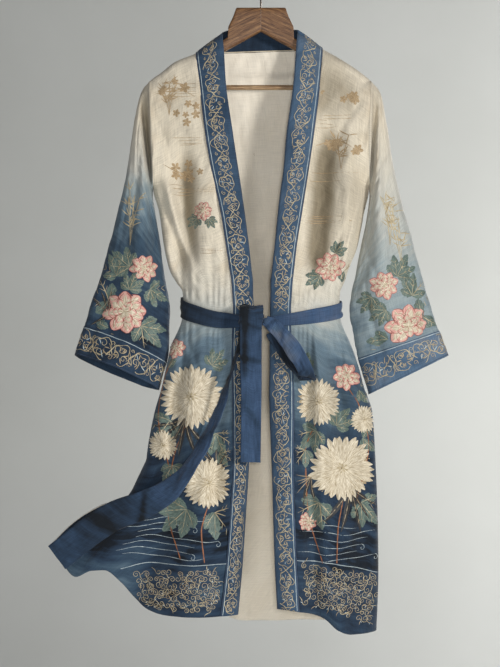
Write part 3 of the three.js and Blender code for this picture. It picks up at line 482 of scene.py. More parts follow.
beltLine = {
    "angle": [-1.57, -1, -0.5, -0.1, 0.3, 0.8, 1.57, 3.14, 4.713],
    "down": [682, 694, 707, 710, 706, 697, 687, 678, 682],
    "width": [40, 40, 38, 32, 34, 40, 42, 44, 40],
}
# long folds: x at the top and at the end, from and to, half width, depth
frontFolds = [
    (-157, -147, 330, 655, 22, 33), (-198, -124, 400, 668, 11, -14), (-212, -152, 420, 660, 9, 7),
    (-106, -92, 540, 664, 10, 6), (134, 100, 280, 655, 27, 40), (184, 164, 280, 640, 17, -15),
    (90, 86, 190, 400, 10, 5), (204, 150, 420, 664, 10, -6), (104, 94, 560, 664, 10, 6),
    (-84, -92, 735, 1180, 15, 15), (-128, -150, 730, 1120, 17, -11), (-150, -190, 735, 1040, 13, 15),
    (-200, -222, 900, 1200, 15, 13), (-150, -186, 1010, 1420, 19, 18), (-104, -110, 1040, 1420, 16, -9),
    (88, 92, 722, 1000, 14, 17), (116, 128, 730, 1290, 15, -12), (142, 168, 725, 1000, 14, 17),
    (100, 106, 1000, 1420, 20, 19), (160, 160, 1020, 1420, 20, -14), (200, 204, 860, 1300, 15, 14),
]
# the same round the back, placed from the left side (0) to the right (1)
backFolds = [
    (0.21, 0.21, 260, 648, 0.035, 8), (0.79, 0.79, 260, 648, 0.035, 8),
    (0.38, 0.38, 430, 648, 0.035, 6), (0.62, 0.62, 430, 648, 0.035, 6),
    (0.16, 0.16, 726, 1420, 0.036, 14), (0.235, 0.235, 726, 1420, 0.034, -9),
    (0.31, 0.31, 726, 1420, 0.036, 15), (0.385, 0.385, 726, 1420, 0.034, -9),
    (0.46, 0.46, 726, 1420, 0.034, 14), (0.54, 0.54, 726, 1420, 0.034, 14),
    (0.615, 0.615, 726, 1420, 0.034, -9), (0.69, 0.69, 726, 1420, 0.036, 15),
    (0.765, 0.765, 726, 1420, 0.034, -9), (0.84, 0.84, 726, 1420, 0.036, 14),
]
# finer creases: a line from (x, down) to (x, down), half width, depth
frontCreases = [
    (-205, 262, -150, 330, 9, 3), (-212, 300, -168, 420, 8, 3.5), (-210, 440, -176, 560, 8, -4),
    (-196, 470, -140, 640, 7, 4), (-176, 540, -120, 650, 6, 3.5), (-120, 250, -108, 420, 13, 3),
    (-160, 620, -96, 646, 5, 2.5), (-84, 430, -72, 640, 7, 3), (-140, 180, -118, 260, 10, -2.5),
    (204, 262, 150, 345, 9, 3), (212, 320, 172, 430, 8, 3.5), (206, 450, 176, 560, 8, -4),
    (190, 470, 146, 640, 7, 4), (168, 520, 118, 648, 6, 4), (112, 250, 100, 430, 12, 3),
    (158, 610, 92, 646, 5, 3), (82, 440, 74, 640, 7, 3), (132, 180, 112, 260, 10, -2.5),
    (-150, 735, -110, 860, 7, 4), (-176, 770, -150, 900, 8, -4), (-70, 735, -74, 900, 6, 3.5),
    (-196, 900, -130, 1120, 11, 5), (-210, 980, -240, 1180, 12, -6), (-160, 1010, -200, 1260, 12, 5),
    (-110, 980, -120, 1280, 12, -4), (-222, 1040, -226, 1280, 9, 6),
    (72, 735, 84, 900, 6, 4), (104, 732, 120, 850, 6, -4), (152, 735, 176, 860, 7, 4),
    (186, 800, 196, 1000, 9, -4), (136, 950, 146, 1240, 12, 4), (200, 980, 204, 1290, 11, -5),
    (80, 960, 84, 1290, 9, -3),
]
collarWarp = {"sway": 2.2, "length": 190, "beltDown": 700}

shoulderAt = readCurve(shoulder["x"], shoulder["down"])
robeAt = readTable(robe, "down")
turnAt = readTable(collarTurn, "down")
dropAt = readCurve(hemDrop["angle"], hemDrop["drop"])
flareAt = readTable(flareHem, "share")
followAt = readCurve(flareFollow["along"], flareFollow["share"])
beltAt = readTable(beltLine, "angle")


def foldSum(table, place, down):
    # the long folds' dents added up: each is a bell across that grows from its start
    total = np.zeros(np.broadcast(place, down).shape)
    for top, end, start, stop, width, depth in table:
        along = (down - start) / (stop - start)
        inside = (along > 0) & (along < 1)
        rise = ease(along * 3.2) * ease((1 - along) * 4)
        off = (place - mix(top, end, np.clip(along, 0, 1))) / width
        total += np.where(inside, depth * rise * bell(off), 0)
    return total


def girth(down):
    # the middle of the body and half its width at a height
    left, right = robeAt["left"](down), robeAt["right"](down)
    return (left + right) / 2, (right - left) / 2


def clearOfBelt(down, turn, clear):
    # 0 on and beside the belt, and 1 where the cloth is free of it again
    return ease(np.maximum(0, np.abs(down - beltAt["down"](turn)) - clear) / 26)


def oval(across, power):
    # half the depth of an oval at a share across: 1 in the middle, 0 at the side, as the root
    # of what the share's power leaves of 1
    return np.sqrt(np.maximum(0, 1 - np.abs(across) ** power))


def bodyDepth(x, down, name):
    # the cloth rounds over the hanger, falls out to the body's depth and clears the armhole
    middle, reach = girth(down)
    across = np.minimum(1, np.abs((x - middle) / reach))
    drop = np.maximum(down - shoulderAt(x), 0)
    power = mix(body["shoulderPower"], body["ovalPower"], np.clip(drop / body["squareOver"], 0, 1))
    bend = body["foldRadius"] * oval(1 - np.minimum(drop / body["foldRadius"], 1), 2) * oval(across, power)
    fall = robeAt[name](down) - body["foldRadius"]
    fall = fall * (1 - np.exp(-drop / body["depthGrowth"])) * oval(across, body["ovalPower"])
    level = (body["armholeTop"] + body["armholeBottom"]) / 2
    half = (body["armholeBottom"] - body["armholeTop"]) / 2
    armhole = body["armholeDepth"] * oval(np.clip((down - level) / half, -1, 1), 2)
    # the eighth root of the sum of eighth powers is the larger of the two, with a soft corner
    return np.maximum(body["seam"], ((bend + fall) ** 8 + armhole ** 8) ** 0.125)


def blow(x, y, down, angle, span):
    # the hem's uneven drop, then the corner that the wind carries out to the left
    along = np.clip((down - body["flareTop"]) / (body["hem"] - body["flareTop"]), 0, 1)
    z = -down - dropAt(angle) * ease((down - body["hemTop"]) / (body["hem"] - body["hemTop"]))
    share = span / body["flareSpan"]
    middle, reach = girth(body["hem"])
    hemX = middle - reach * np.cos(span)
    follow = followAt(along) * (1 - ease((share - 0.72) / 0.28)) * (share < 1)
    x = x + (flareAt["x"](share) - hemX) * follow
    z = z - (flareAt["down"](share) - body["hem"]) * follow
    y = y - body["flareWave"] * follow * np.sin(share * 7.5)
    return np.stack(np.broadcast_arrays(x, y, z), axis=-1)


gather = {"height": 2.4, "pitch": 15, "reach": 46, "start": 7}


def beltGather(x, down, angle):
    # small pleats that start at the belt's edges and die out, and none under the belt
    outside = np.maximum(0, np.abs(down - beltAt["down"](angle)) - beltAt["width"](angle) / 2 - 1)
    jitter = 0.9 * rumple(x, down * 0.12, 31, 70)
    pleat = np.sin(2 * np.pi * x / gather["pitch"] + jitter * 2.2)
    grown = (1 - np.exp(-outside / gather["start"])) * np.exp(-outside / gather["reach"])
    return gather["height"] * grown * pleat


def frontSurface(x, down, onLeft):
    # a place on a front: the body's depth less its folds, creases, pleats and rumples
    middle, reach = girth(down)
    span = np.arccos(np.clip(np.abs(x - middle) / reach, 0, 1))
    sign = -1 if onLeft else 1
    angle = sign * (np.pi / 2 - span)
    edge = ease(span / body["sideCalm"])
    calm = clearOfBelt(down, angle, 21)
    y = -bodyDepth(x, down, "front") + foldSum(frontFolds, x, down)
    small = 1.25 * creases(x, down, frontCreases) + 1.6 * rumple(x, down * 0.55, 5, 60)
    small = small + 0.75 * rumple(x, down * 0.7, 6, 24) + 0.22 * rumple(x, down * 0.8, 9, 10)
    y = y + small * calm * edge * ease((down - shoulderAt(x)) / 30) + beltGather(x, down, angle) * edge
    return blow(x, y, down, angle, span if onLeft else np.full_like(span, np.pi))


def backSurface(x, down):
    # a place on the back: the body's depth behind the middle less its folds, rumples and pleats
    middle, reach = girth(down)
    angle = np.arccos(np.clip((middle - x) / reach, -1, 1))
    turn = 1.5 * np.pi - angle
    edge = ease(angle / body["sideCalm"]) * ease((np.pi - angle) / body["sideCalm"])
    calm = clearOfBelt(down, turn, 22)
    y = bodyDepth(x, down, "back") - foldSum(backFolds, angle / np.pi, down)
    small = 1.5 * rumple(x, down * 0.5, 7, 64) + 0.8 * rumple(x, down * 0.45, 8, 20)
    small = small + 0.2 * rumple(x, down * 0.6, 10, 9)
    y = y - small * calm * edge * ease((down - shoulderAt(x)) / 30) - beltGather(x, down, turn) * edge
    return blow(x, y, down, turn, angle)


def neckSeamDown(x):
    # the back panel's top under the neckband: a straight line from shoulder to shoulder
    first, last = robe["seamL"][0], robe["seamR"][0]
    return mix(shoulderAt(first), shoulderAt(last), (x - first) / (last - first))


def rowPlaces(upper, lower):
    # rows from the shoulder to the armhole's end by share, then level rows to the hem
    share = np.concatenate([np.linspace(0, 1, upper) ** 1.9, np.ones(lower)])
    level = np.linspace(body["armholeBottom"], body["hem"], lower + 1)[1:]
    return share, np.concatenate([np.zeros(upper), level])


def rowDown(share, level, top):
    # a row's height: its own level, or its share of the way from the shoulder to the armhole's end
    return np.where(level > 0, level, mix(top, body["armholeBottom"], share))


def onRow(share, level, edge):
    # where a row meets an edge whose x is read by height: found by going round a few times
    down = rowDown(share, level, body["armholeTop"])
    for _ in range(8):
        down = rowDown(share, level, shoulderAt(edge(down)))
    return edge(down), down


def frontGrid(onLeft):
    # columns lie at even angles of the oval from the side to the neckband's seam
    share, level = rowPlaces(frontPanel["upper"], frontPanel["lower"])
    side, sideDown = onRow(share, level, robeAt["left" if onLeft else "right"])
    seam, _ = onRow(share, level, robeAt["seamL" if onLeft else "seamR"])
    middle = (robeAt["left"](sideDown) + robeAt["right"](sideDown)) / 2
    reach = np.abs(side - middle)
    seamAngle = np.arccos(np.clip(np.abs(seam - middle) / reach, 0, 1))
    angle = np.linspace(0.002, 1.0, frontPanel["across"])[None, :] * seamAngle[:, None]
    x = middle[:, None] + (-1 if onLeft else 1) * reach[:, None] * np.cos(angle)
    return x, rowDown(share[:, None], level[:, None], shoulderAt(x))


dipped = {
    "down": [560, 650, 730, 800, 900, 1040, 1140, 1215, 1300],
    "dye": [0, 0.1, 0.36, 0.5, 0.64, 0.8, 0.9, 0.82, 0.78],
}


def dyeDepth(x, down, deeper=0.0):
    # how much dye the cloth has taken: none at the shoulders and most above the hem, with an
    # uneven edge where each dip ended
    edge = down + 16 * rumple(x, down * 0.3, 11, 160) + 6 * rumple(x, down, 12, 50)
    return np.clip(readCurve(dipped["down"], dipped["dye"])(edge) + deeper, 0, 1)


# the two fronts

frontPanel = {
    "thick": 1.3, "slot": "linen", "materials": [dyedLinen, liningLinen],
    "flat": (0.36, 1.26), "area": 0.24, "upper": 70, "lower": 190, "across": 84,
    # darker patches, partly stains and partly painted shade: x, down, half width, half height, strength
    "stainsAndShade": [(140, 245, 46, 62, 0.75), (184, 460, 30, 80, 0.4), (-178, 268, 34, 56, 0.3),
               (-150, 350, 40, 30, 0.16)],
    # painted shade in the deep folds starts and grows over these mm of fold depth, above the belt's height
    "shadeFrom": 7, "shadeOver": 28, "shadeAbove": 660,    # mm of fold depth, and the belt's height
    # the blown corner: x and down of its hollow, how far it fades, the painted shade that deepens the dye in
    # the hollow, and how much paler the corner beyond is
    "blownX": 310, "blownDown": 1130, "blownFade": 60, "hollowShade": 0.16, "cornerX": 215, "cornerDye": 0.14,
}


def makeFront(name, onLeft):
    # one front with its dye, painted shade where the folds are deep, and a few soft patches that are partly
    # stains and partly painted shade
    x, down = frontGrid(onLeft)
    points = frontSurface(x, down, onLeft)
    dye = dyeDepth(x, down, deeper=0.06 * ease((down - 700) / 80))
    seenX, seenDown = -points[..., 0], -points[..., 2]
    look = frontPanel
    fade = look["blownFade"]
    # painted shade deepens the dye in the hollow of the blown corner; the corner beyond it is paler
    hollow = bell((seenX - look["blownX"]) / fade) * bell((seenDown - look["blownDown"]) / fade)
    corner = ease((seenX - look["cornerX"]) / fade) * ease((seenDown - look["blownDown"]) / fade)
    corner = corner * (1 - hollow)
    dye = dye + (look["hollowShade"] * hollow - look["cornerDye"] * corner) * onLeft
    # painted shade on one side of each deep fold, above the belt
    shadeAndStain = ease((foldSum(frontFolds, x - 7, down) - look["shadeFrom"]) / look["shadeOver"])
    shadeAndStain = shadeAndStain * ease((look["shadeAbove"] - down) / 60)
    # soft darker patches: partly stains, partly painted shade
    for darkX, darkDown, wide, high, strength in look["stainsAndShade"]:
        spread = ((x - darkX) / wide) ** 2 + ((down - darkDown) / high) ** 2
        shadeAndStain = shadeAndStain + strength * np.exp(-spread * (1 + 0.35 * rumple(x, down, 19, 46)))
    piece = clothPiece(name, points, look, flip=onLeft, values={"dye": dye, "shadeAndStain": shadeAndStain})


# the names are the wearer's, so front_right is on the viewer's left
makeFront("front_right", True)
makeFront("front_left", False)
print("fronts made")

# the back

backPanel = {
    "thick": 1.3, "slot": "linen", "materials": [dyedLinen, liningLinen],
    "flat": (0.72, 1.26), "area": 0.66, "upper": 60, "lower": 150, "across": 150,
}


def makeBack():
    # columns lie at even angles of the oval from side to side, and the top follows the neck
    share, level = rowPlaces(backPanel["upper"], backPanel["lower"])
    left, _ = onRow(share, level, robeAt["left"])
    right, _ = onRow(share, level, robeAt["right"])
    angle = np.linspace(0.002, np.pi - 0.002, backPanel["across"])[None, :]
    x = (left + right)[:, None] / 2 - (right - left)[:, None] / 2 * np.cos(angle)
    neck = (x > robe["seamL"][0]) & (x < robe["seamR"][0])
    top = np.where(neck, neckSeamDown(x), shoulderAt(x))
    down = rowDown(share[:, None], level[:, None], top)
    # the dye's wander is read 900 mm aside, so that the back differs from the fronts
    piece = clothPiece("back", backSurface(x, down), backPanel, values={"dye": dyeDepth(x + 900, down)})


makeBack()
print("back made")

# the neckband, one strip from hem to hem round the back neck

collarBand = {
    "thick": 2.4, "slot": "border", "materials": [indigoLinen], "flat": (0.058, 2.62),
    "across": 13, "upper": 60, "lower": 190, "neck": 60, "lift": 0.9, "pad": 1.3,
    "neckTop": 119, "neckDeep": 35,    # mm, the top edge behind the neck
    "plain": (686, 722),    # the stretch by height that the belt covers
}


def collarFront(share, level, t, onLeft):
    # t runs across the band from the seam (0) to the free edge (1); the folds die out across it,
    # and its free edge is turned in by the square of t
    sign = -1 if onLeft else 1
    seam, seamDown = onRow(share, level, robeAt["seamL" if onLeft else "seamR"])
    rise = np.where(level > 0, 0, body["collarRise"] * (1 - share) ** 3)
    openX = robeAt["openL" if onLeft else "openR"](seamDown - rise)
    x = mix((seam + sign * 0.8)[:, None], openX[:, None], t)
    down = mix(seamDown[:, None], (seamDown - rise)[:, None], t)
    middle, reach = girth(down)
    span = np.arccos(np.clip(np.abs(x - middle) / reach, 0, 1))
    y = -bodyDepth(x, down, "front") + foldSum(frontFolds, x, down) * (1 - t)
    y = y + turnAt["left" if onLeft else "right"](down) * t * t
    sway = collarWarp["sway"] * rumple(down * 0.3, down, 21 if onLeft else 22, collarWarp["length"])
    calm = ease(np.abs(down - collarWarp["beltDown"]) / 60) * ease((down - 200) / 80)
    y = y + sway * t * calm + 0.35 * rumple(x, down, 23, 18)
    return blow(x, y, down, sign * (np.pi / 2 - span), span if onLeft else np.full_like(span, np.pi))


def collarNeck(along, t):
    # from the left shoulder (0) to the right (1), standing up round the back of the neck
    first, last = robe["seamL"][0], robe["seamR"][0]
    turn, lift = np.cos(along * np.pi), np.sin(along * np.pi)
    seamX = mix(first, last, (1 - turn) / 2)
    seamDown = neckSeamDown(seamX)
    seamY = bodyDepth(seamX, seamDown, "back") + 0.8
    leftTop, rightTop = (onRow(np.zeros(1), np.zeros(1), robeAt[edge])[1][0] - body["collarRise"]
                         for edge in ("seamL", "seamR"))
    topX = mix(robeAt["openL"](leftTop), robeAt["openR"](rightTop), (1 - turn) / 2)
    topDown = mix(mix(leftTop, rightTop, along), collarBand["neckTop"], np.minimum(1, lift * 1.25))
    bow = 2.5 * np.sin(t * np.pi) * lift
    y = mix(seamY, collarBand["neckDeep"] * lift ** 0.8, t) + bow
    return np.stack([mix(seamX, topX, t), y, -mix(seamDown, topDown, t)], axis=-1)


def makeCollar():
    # both fronts' stretches and the neck's in one strip, lifted along its normals by a low crown
    share, level = rowPlaces(collarBand["upper"], collarBand["lower"])
    t = np.linspace(0, 1, collarBand["across"])[None, :]
    up = collarFront(share, level, t, True)[::-1]
    along = np.linspace(0, 1, collarBand["neck"] + 2)[1:-1, None]
    points = np.concatenate([up, collarNeck(along, t), collarFront(share, level, t, False)])
    normal = gridNormals(points)
    crown = collarBand["lift"] + collarBand["pad"] * np.sin(np.pi * t[..., None]) ** 0.6
    points = points + normal * crown
    x, z = points[..., 0], points[..., 2]
    # deeper to the left and deepest behind the neck, painted shade on the side away from the light and under
    # the hanger; a little deeper below
    dye = 0.5 - x / 900 + 0.00012 * (-z - 700) + 0.05 * rumple(x, z, 24, 90) + 0.4 * ease(points[..., 1] / 30)
    piece = clothPiece("collar", points, collarBand, values={"dye": dye})
    return points


collarPoints = makeCollar()
print("collar made")

# sleeves and their border bands

sleeveOnLeft = {
    "along": [0, 0.1, 0.23, 0.4, 0.55, 0.7, 0.85, 1],
    "topX": [-224, -241, -255, -269, -295, -321, -348, -375],
    "topDown": [227, 250, 306, 403, 517, 611, 696, 780],
    "underX": [-217, -218, -211, -202, -194, -183, -186, -207],
    "underDown": [443, 462, 506, 560, 622, 690, 768, 849],
    "depth": [40, 42, 46, 50, 52, 48, 42, 36],
    "lean": [0, 0, 0.02, 0.05, 0.1, 0.15, 0.2, 0.24],
}
sleeveOnRight = {
    "along": [0, 0.1, 0.23, 0.4, 0.55, 0.7, 0.85, 1],
    "topX": [222, 241, 254, 270, 299, 322, 349, 378],
    "topDown": [227, 252, 316, 413, 525, 613, 706, 781],
    "underX": [218, 219, 213, 201, 190, 179, 190, 218],
    "underDown": [443, 462, 508, 564, 622, 684, 756, 859],
    "depth": [40, 42, 46, 50, 52, 48, 42, 36],
    "lean": [0, 0, 0, 0, 0, 0, 0.02, 0.04],
}
sleeveFolds = [
    (1.15, 0.02, 0.75, 0.22, 7), (1.75, 0.2, 1.2, 0.26, -6), (2.5, 0.15, 0.85, 0.24, 7),
    (-1.2, 0.05, 0.8, 0.26, 7), (-2.1, 0.15, 1.2, 0.28, -6), (2.15, -0.1, 0.62, 0.3, 13),
    (1.45, 0.3, 1.3, 0.22, -6), (0.75, 0.25, 1.3, 0.22, 7),
]
# creases on the sleeve: from (round in radians, along) to the same, half width, depth
sleeveCreases = [
    (2.6, 0.1, 1.2, 0.34, 0.07, 3.5), (2.7, 0.2, 1.3, 0.5, 0.08, 4), (2.75, 0.32, 1.7, 0.66, 0.08, 3.5),
    (0.6, 0.05, 1.0, 0.35, 0.09, 3), (0.5, 0.3, 0.8, 0.8, 0.1, -3), (2.3, 0.5, 2.0, 0.95, 0.09, 4),
    (1.4, 0.55, 1.45, 1.0, 0.1, 3), (-2.6, 0.1, -1.2, 0.4, 0.08, 4), (-2.7, 0.25, -1.4, 0.6, 0.09, 4),
    (-0.8, 0.2, -0.9, 0.9, 0.1, -3),
]
sleevePanel = {
    "thick": 1.3, "slot": "linen", "materials": [dyedLinen, liningLinen], "flat": (0.42, 0.54), "area": 0.16,
    "rows": 150, "round": 150, "ends": 0.9, "radius": 70, "creaseScale": 6.5, "girth": 0.44, "length": 0.64,
    # beside the armhole seam, left and right: place, width and depth of the hollow, and the painted shade in
    # it
    "hollow": [(0.09, 0.075, 33, 1.0), (0.05, 0.04, 16, 0.5)],
    # the dye's depth by height, left and right, and how far down the right one starts; the left one's greater
    # depth is partly painted shade
    "dyeDown": [320, 400, 500, 580, 680, 820],
    "dye": [[0, 0.12, 0.5, 0.72, 0.8, 0.9], [0, 0.1, 0.22, 0.3, 0.38, 0.52]], "dyeShift": [-30, -10],
}
cuffBand = {
    "thick": 2.0, "slot": "border", "materials": [indigoLinen], "flat": (0.44, 0.066),
    "rows": 22, "round": 150, "lift": 0.9,
}


def around(angle):
    # the same angle between minus and plus half a turn
    return np.arctan2(np.sin(angle), np.cos(angle))


def sleeveSurface(table, along, angle, seed):
    # rings from the armhole (0) to the cuff (1): an oval between a top and an underarm
    # point, with long folds that run down the sleeve
    at = {name: read(along) for name, read in readTable(table, "along").items()}
    top = np.stack(np.broadcast_arrays(at["topX"], 0.0, -at["topDown"]), axis=-1)
    under = np.stack(np.broadcast_arrays(at["underX"], 0.0, -at["underDown"]), axis=-1)
    half = (top - under) / 2
    length = np.linalg.norm(half, axis=-1)
    fold = np.zeros(np.broadcast(along, angle).shape)
    for middle, start, stop, width, depth in sleeveFolds:
        share = (along - start) / (stop - start)
        off = around(angle - middle) / width
        inside = (share > 0) & (share < 1)
        fold += np.where(inside, depth * ease(share * 3) * ease((1 - share) * 3) * bell(off), 0)
    # a crease is measured in radians round and in sleeve lengths along, so the lengths are
    # scaled until both count for about as many mm
    scale = sleevePanel["creaseScale"]
    scaled = [(a, start * scale, b, end * scale, wide, deep)
              for a, start, b, end, wide, deep in sleeveCreases]
    small = creases(around(angle), along * scale, scaled)
    # the waves close round the tube: they are read on its circle, not on the angle
    roundX, roundY = sleevePanel["radius"] * np.cos(angle), sleevePanel["radius"] * np.sin(angle)
    small = small + 1.5 * rumple(roundX + along * 300, roundY + along * 520, seed, 60)
    small = small + 0.7 * rumple(roundX - along * 500, roundY + along * 400, seed + 1, 26)
    small = small + 0.2 * rumple(roundX + along * 620, roundY - along * 300, seed + 2, 11)
    fold = fold + small * ease(along / 0.06)
    # the body's side stands proud, and the sleeve sinks in beside the armhole seam
    place, width, deep, _ = sleevePanel["hollow"][0 if table is sleeveOnLeft else 1]
    sunk = bell((along - place) / width) * np.maximum(0, np.sin(angle))
    fold = fold + deep * sunk * ease(along / 0.03)
    cos = (np.cos(angle) * (1 - fold / length / 2))[..., None]
    point = (top + under) / 2 + half * cos
    y = -(at["depth"] - fold) * np.sin(angle)
    point = np.stack(np.broadcast_arrays(point[..., 0], y, point[..., 2] - at["lean"] * y), axis=-1)
    # the first ring lies in the body's side
    atBody = (along < 0.0005)[..., None]
    bodyX = robeAt["left" if table is sleeveOnLeft else "right"](-point[..., 2])
    seated = np.stack([bodyX, point[..., 1], point[..., 2]], axis=-1)
    return np.where(atBody, seated, point)


def tubeCut(angle, along):
    # round the tube u is the girth and along it v is the length, both in metres
    girths, lengths = angle / (2 * np.pi) * sleevePanel["girth"], along * sleevePanel["length"]
    return np.stack(np.broadcast_arrays(girths, lengths), axis=-1)


def sleeveDye(point, onLeft):
    # the sleeves take the dye higher up, and the one on the left takes it deeper, partly as painted shade on
    # the side away from the light
    side = 0 if onLeft else 1
    x, down = point[..., 0], -point[..., 2]
    edge = down + 12 * rumple(x, down * 0.3, 13, 130) + 5 * rumple(x, down, 14, 40)
    return readCurve(sleevePanel["dyeDown"], sleevePanel["dye"][side])(edge - sleevePanel["dyeShift"][side])


def makeSleeve(name, cuffName, table, onLeft, seed):
    # the sleeve's rings as far as the cuff, and the cuff's own rings lifted along their normals
    angle = np.linspace(0, 2 * np.pi, sleevePanel["round"], endpoint=False)[None, :]
    along = np.linspace(0, sleevePanel["ends"] + 0.004, sleevePanel["rows"])[:, None]
    points = sleeveSurface(table, along, angle, seed)
    place, width, _, darkShare = sleevePanel["hollow"][0 if onLeft else 1]
    # painted shade in the hollow beside the armhole seam, where the body's side stands proud
    shadeAndStain = darkShare * bell((along - place * 0.8) / width) * np.maximum(0, np.sin(angle))
    piece = clothPiece(name, points, sleevePanel, wrapped=True, flip=onLeft, uv=tubeCut(angle, along),
                       values={"dye": sleeveDye(points, onLeft), "shadeAndStain": shadeAndStain})
    along = np.linspace(sleevePanel["ends"] - 0.002, 1, cuffBand["rows"])[:, None]
    band = sleeveSurface(table, along, angle, seed)
    normal = gridNormals(np.concatenate([band, band[:, :1]], axis=1))[:, :-1] * (-1 if onLeft else 1)
    band = band + normal * cuffBand["lift"]
    # darker to the left: painted shade on the side away from the light
    dye = 0.52 - band[..., 0] / 1050 + 0.06 * rumple(band[..., 0], band[..., 2], 25, 60)
    cuff = clothPiece(cuffName, band, cuffBand, wrapped=True, flip=onLeft, uv=tubeCut(angle, along),
                      values={"dye": dye})
    return band


cuffPoints = {
    "cuff_right": makeSleeve("sleeve_right", "cuff_right", sleeveOnLeft, True, 41),
    "cuff_left": makeSleeve("sleeve_left", "cuff_left", sleeveOnRight, False, 47),
}
print("sleeves made")

# stitching: each stitched line or petal is a narrow strip on a panel, crowned across its width

def offset(x, d, reach, heading):
    # the place that lies a reach away from (x, d) along a heading
    return x + reach * math.cos(heading), d + reach * math.sin(heading)


def stitch(path, half, thread, height=0.6, base=0.0):
    # half is the strip's half width, one number or one for each point of the path
    path = np.asarray(path, float)
    return {"path": path, "half": np.broadcast_to(half, len(path)).astype(float), "thread": thread,
            "height": height, "base": base}


def line(points, half, thread, count=14, taper=0.5, height=0.6):
    # a smooth line through a few points that narrows towards its ends by the fourth power
    points = np.asarray(points, float)
    far = np.concatenate([[0], np.cumsum(np.linalg.norm(np.diff(points, axis=0), axis=1))])
    s = np.linspace(0, 1, count)
    path = np.stack([readCurve(far / far[-1], points[:, k])(s) for k in (0, 1)], axis=-1)
    return stitch(path, half * (1 - taper * np.abs(2 * s - 1) ** 4), thread, height)


def spiral(cx, cd, radius, turns, start, way, half, thread):
    # a curl that winds in to its centre: the radius falls to 0.18 of itself along the curl
    s = np.linspace(0, 1, 18)
    r = radius * (1 - 0.82 * s ** 0.85)
    angle = start + way * 2 * np.pi * turns * s
    path = np.stack([cx + r * np.cos(angle), cd + r * np.sin(angle)], axis=-1)
    return stitch(path, half * (1.0 - 0.35 * s), thread)


def petal(x, d, heading, length, width, thread, bend=0.0, height=0.8, base=0.0, blunt=0.75, count=9):
    # a leaf-shaped patch of satin stitch from (x, d) along the heading; bend curves it sideways,
    # and its width follows a half sine whose widest place blunt moves towards the tip
    s = np.linspace(0, 1, count)
    angle = heading + bend * s
    step = np.stack([np.cos(angle), np.sin(angle)], axis=-1) * length / (count - 1)
    path = np.array([x, d]) + np.concatenate([[[0, 0]], np.cumsum(step[:-1], axis=0)])
    half = width / 2 * np.maximum(0.03, np.sin(np.pi * np.clip(s, 0.02, 0.98) ** blunt)) ** 0.7
    return stitch(path, half, thread, height, base)


def chrysanthemum(x, d, radius, seed):
    # rings of narrow petals over a tan ground whose darker colour is painted shade between them, each ring
    # shorter and higher than the last
    rng = np.random.default_rng(seed)
    out = []
    for k in range(22):
        out.append(petal(x, d, 2 * np.pi * k / 22, radius * 0.9, radius * 0.3, "sand", height=0.2, base=0.1))
    # from, to, petals, width, base, all but the count and the base as shares of the radius
    for inner, outer, count, width, base in [(0.34, 1.0, 30, 0.185, 0.55), (0.2, 0.78, 26, 0.165, 1.0),
                                             (0.1, 0.56, 20, 0.14, 1.4), (0.03, 0.34, 13, 0.11, 1.8)]:
        shift = rng.uniform(0, 1)
        for k in range(count):
            a = 2 * np.pi * (k + shift) / count + rng.normal(0, 0.03)
            reach = radius * (outer - inner) * rng.uniform(0.88, 1.06)
            out.append(petal(*offset(x, d, radius * inner, a), a, reach, radius * width, "cream",
                             bend=rng.normal(0.12, 0.12), height=0.9, base=base, blunt=1.35))
    for k in range(9):
        a = 2.4 * k    # seeds on a spiral, about a golden angle apart
        at = offset(x, d, 0.9 * k ** 0.6 * radius / 30, a)
        out.append(petal(*at, a, radius * 0.09, radius * 0.07, "tan",
                         height=0.8, base=2.3, count=5))
    return out


def peony(x, d, radius, seed):
    # broad petals: cream within, shell pink at the rim, and a fine madder outline
    rng = np.random.default_rng(seed)
    out = []
    for inner, outer, count, width, base in [(0.12, 1.0, 8, 0.6, 0.3), (0.08, 0.78, 7, 0.52, 0.85),
                                             (0.04, 0.54, 6, 0.4, 1.35), (0.0, 0.32, 5, 0.3, 1.8)]:
        shift = rng.uniform(0, 1)
        for k in range(count):
            a = 2 * np.pi * (k + shift) / count + rng.normal(0, 0.07)
            root = offset(x, d, radius * inner, a)
            reach = radius * (outer - inner) * rng.uniform(0.88, 1.1)
            bend = rng.normal(0, 0.12)
            rim = petal(*root, a, reach, radius * width, "pink", bend=bend, height=0.7, base=base,
                        blunt=1.5, count=11)
            out.append(rim)
            out.append(petal(*root, a, reach * 0.89, radius * width * 0.82, "cream", bend=bend, height=0.8,
                             base=base + 0.12, blunt=1.4, count=11))
            side = np.gradient(rim["path"], axis=0)
            side = np.stack([-side[:, 1], side[:, 0]], axis=-1) / np.linalg.norm(side, axis=1, keepdims=True)
            for way in (-1, 1):
                edge = rim["path"] + side * (rim["half"] * way * 0.96)[:, None]
                out.append(stitch(edge, radius * 0.008 + 0.28, "red", 0.45, base + 0.12))
    for k in range(7):
        a = 2.4 * k
        out.append(petal(*offset(x, d, radius * 0.025 * k, a), a, radius * 0.1, radius * 0.07, "tan",
                         height=0.8, base=2.3, count=5))
    return out


def lobedLeaf(x, d, heading, size):
    # five broad lobes that spread from the stalk, each with a middle vein and side veins
    lobes = [(heading + turn, size * share, -0.12 * turn)
             for turn, share in ((-1.3, 0.6), (-0.66, 0.86), (0.0, 1.0), (0.66, 0.86), (1.3, 0.6))]
    out = [petal(x, d, a, long, size * 0.46, "green", bend=bend, height=0.6, base=0.05, blunt=1.05)
           for a, long, bend in lobes]
    for a, long, bend in lobes:
        out.append(petal(x, d, a, long * 0.9, size * 0.02 + 0.7, "tan", bend=bend, height=0.35, base=0.62))
        for part in (0.4, 0.62):
            for way in (-0.75, 0.75):
                out.append(petal(*offset(x, d, long * part, a), a + way, long * 0.24, 0.9, "tan",
                                 height=0.3, base=0.55, count=5))
    return out


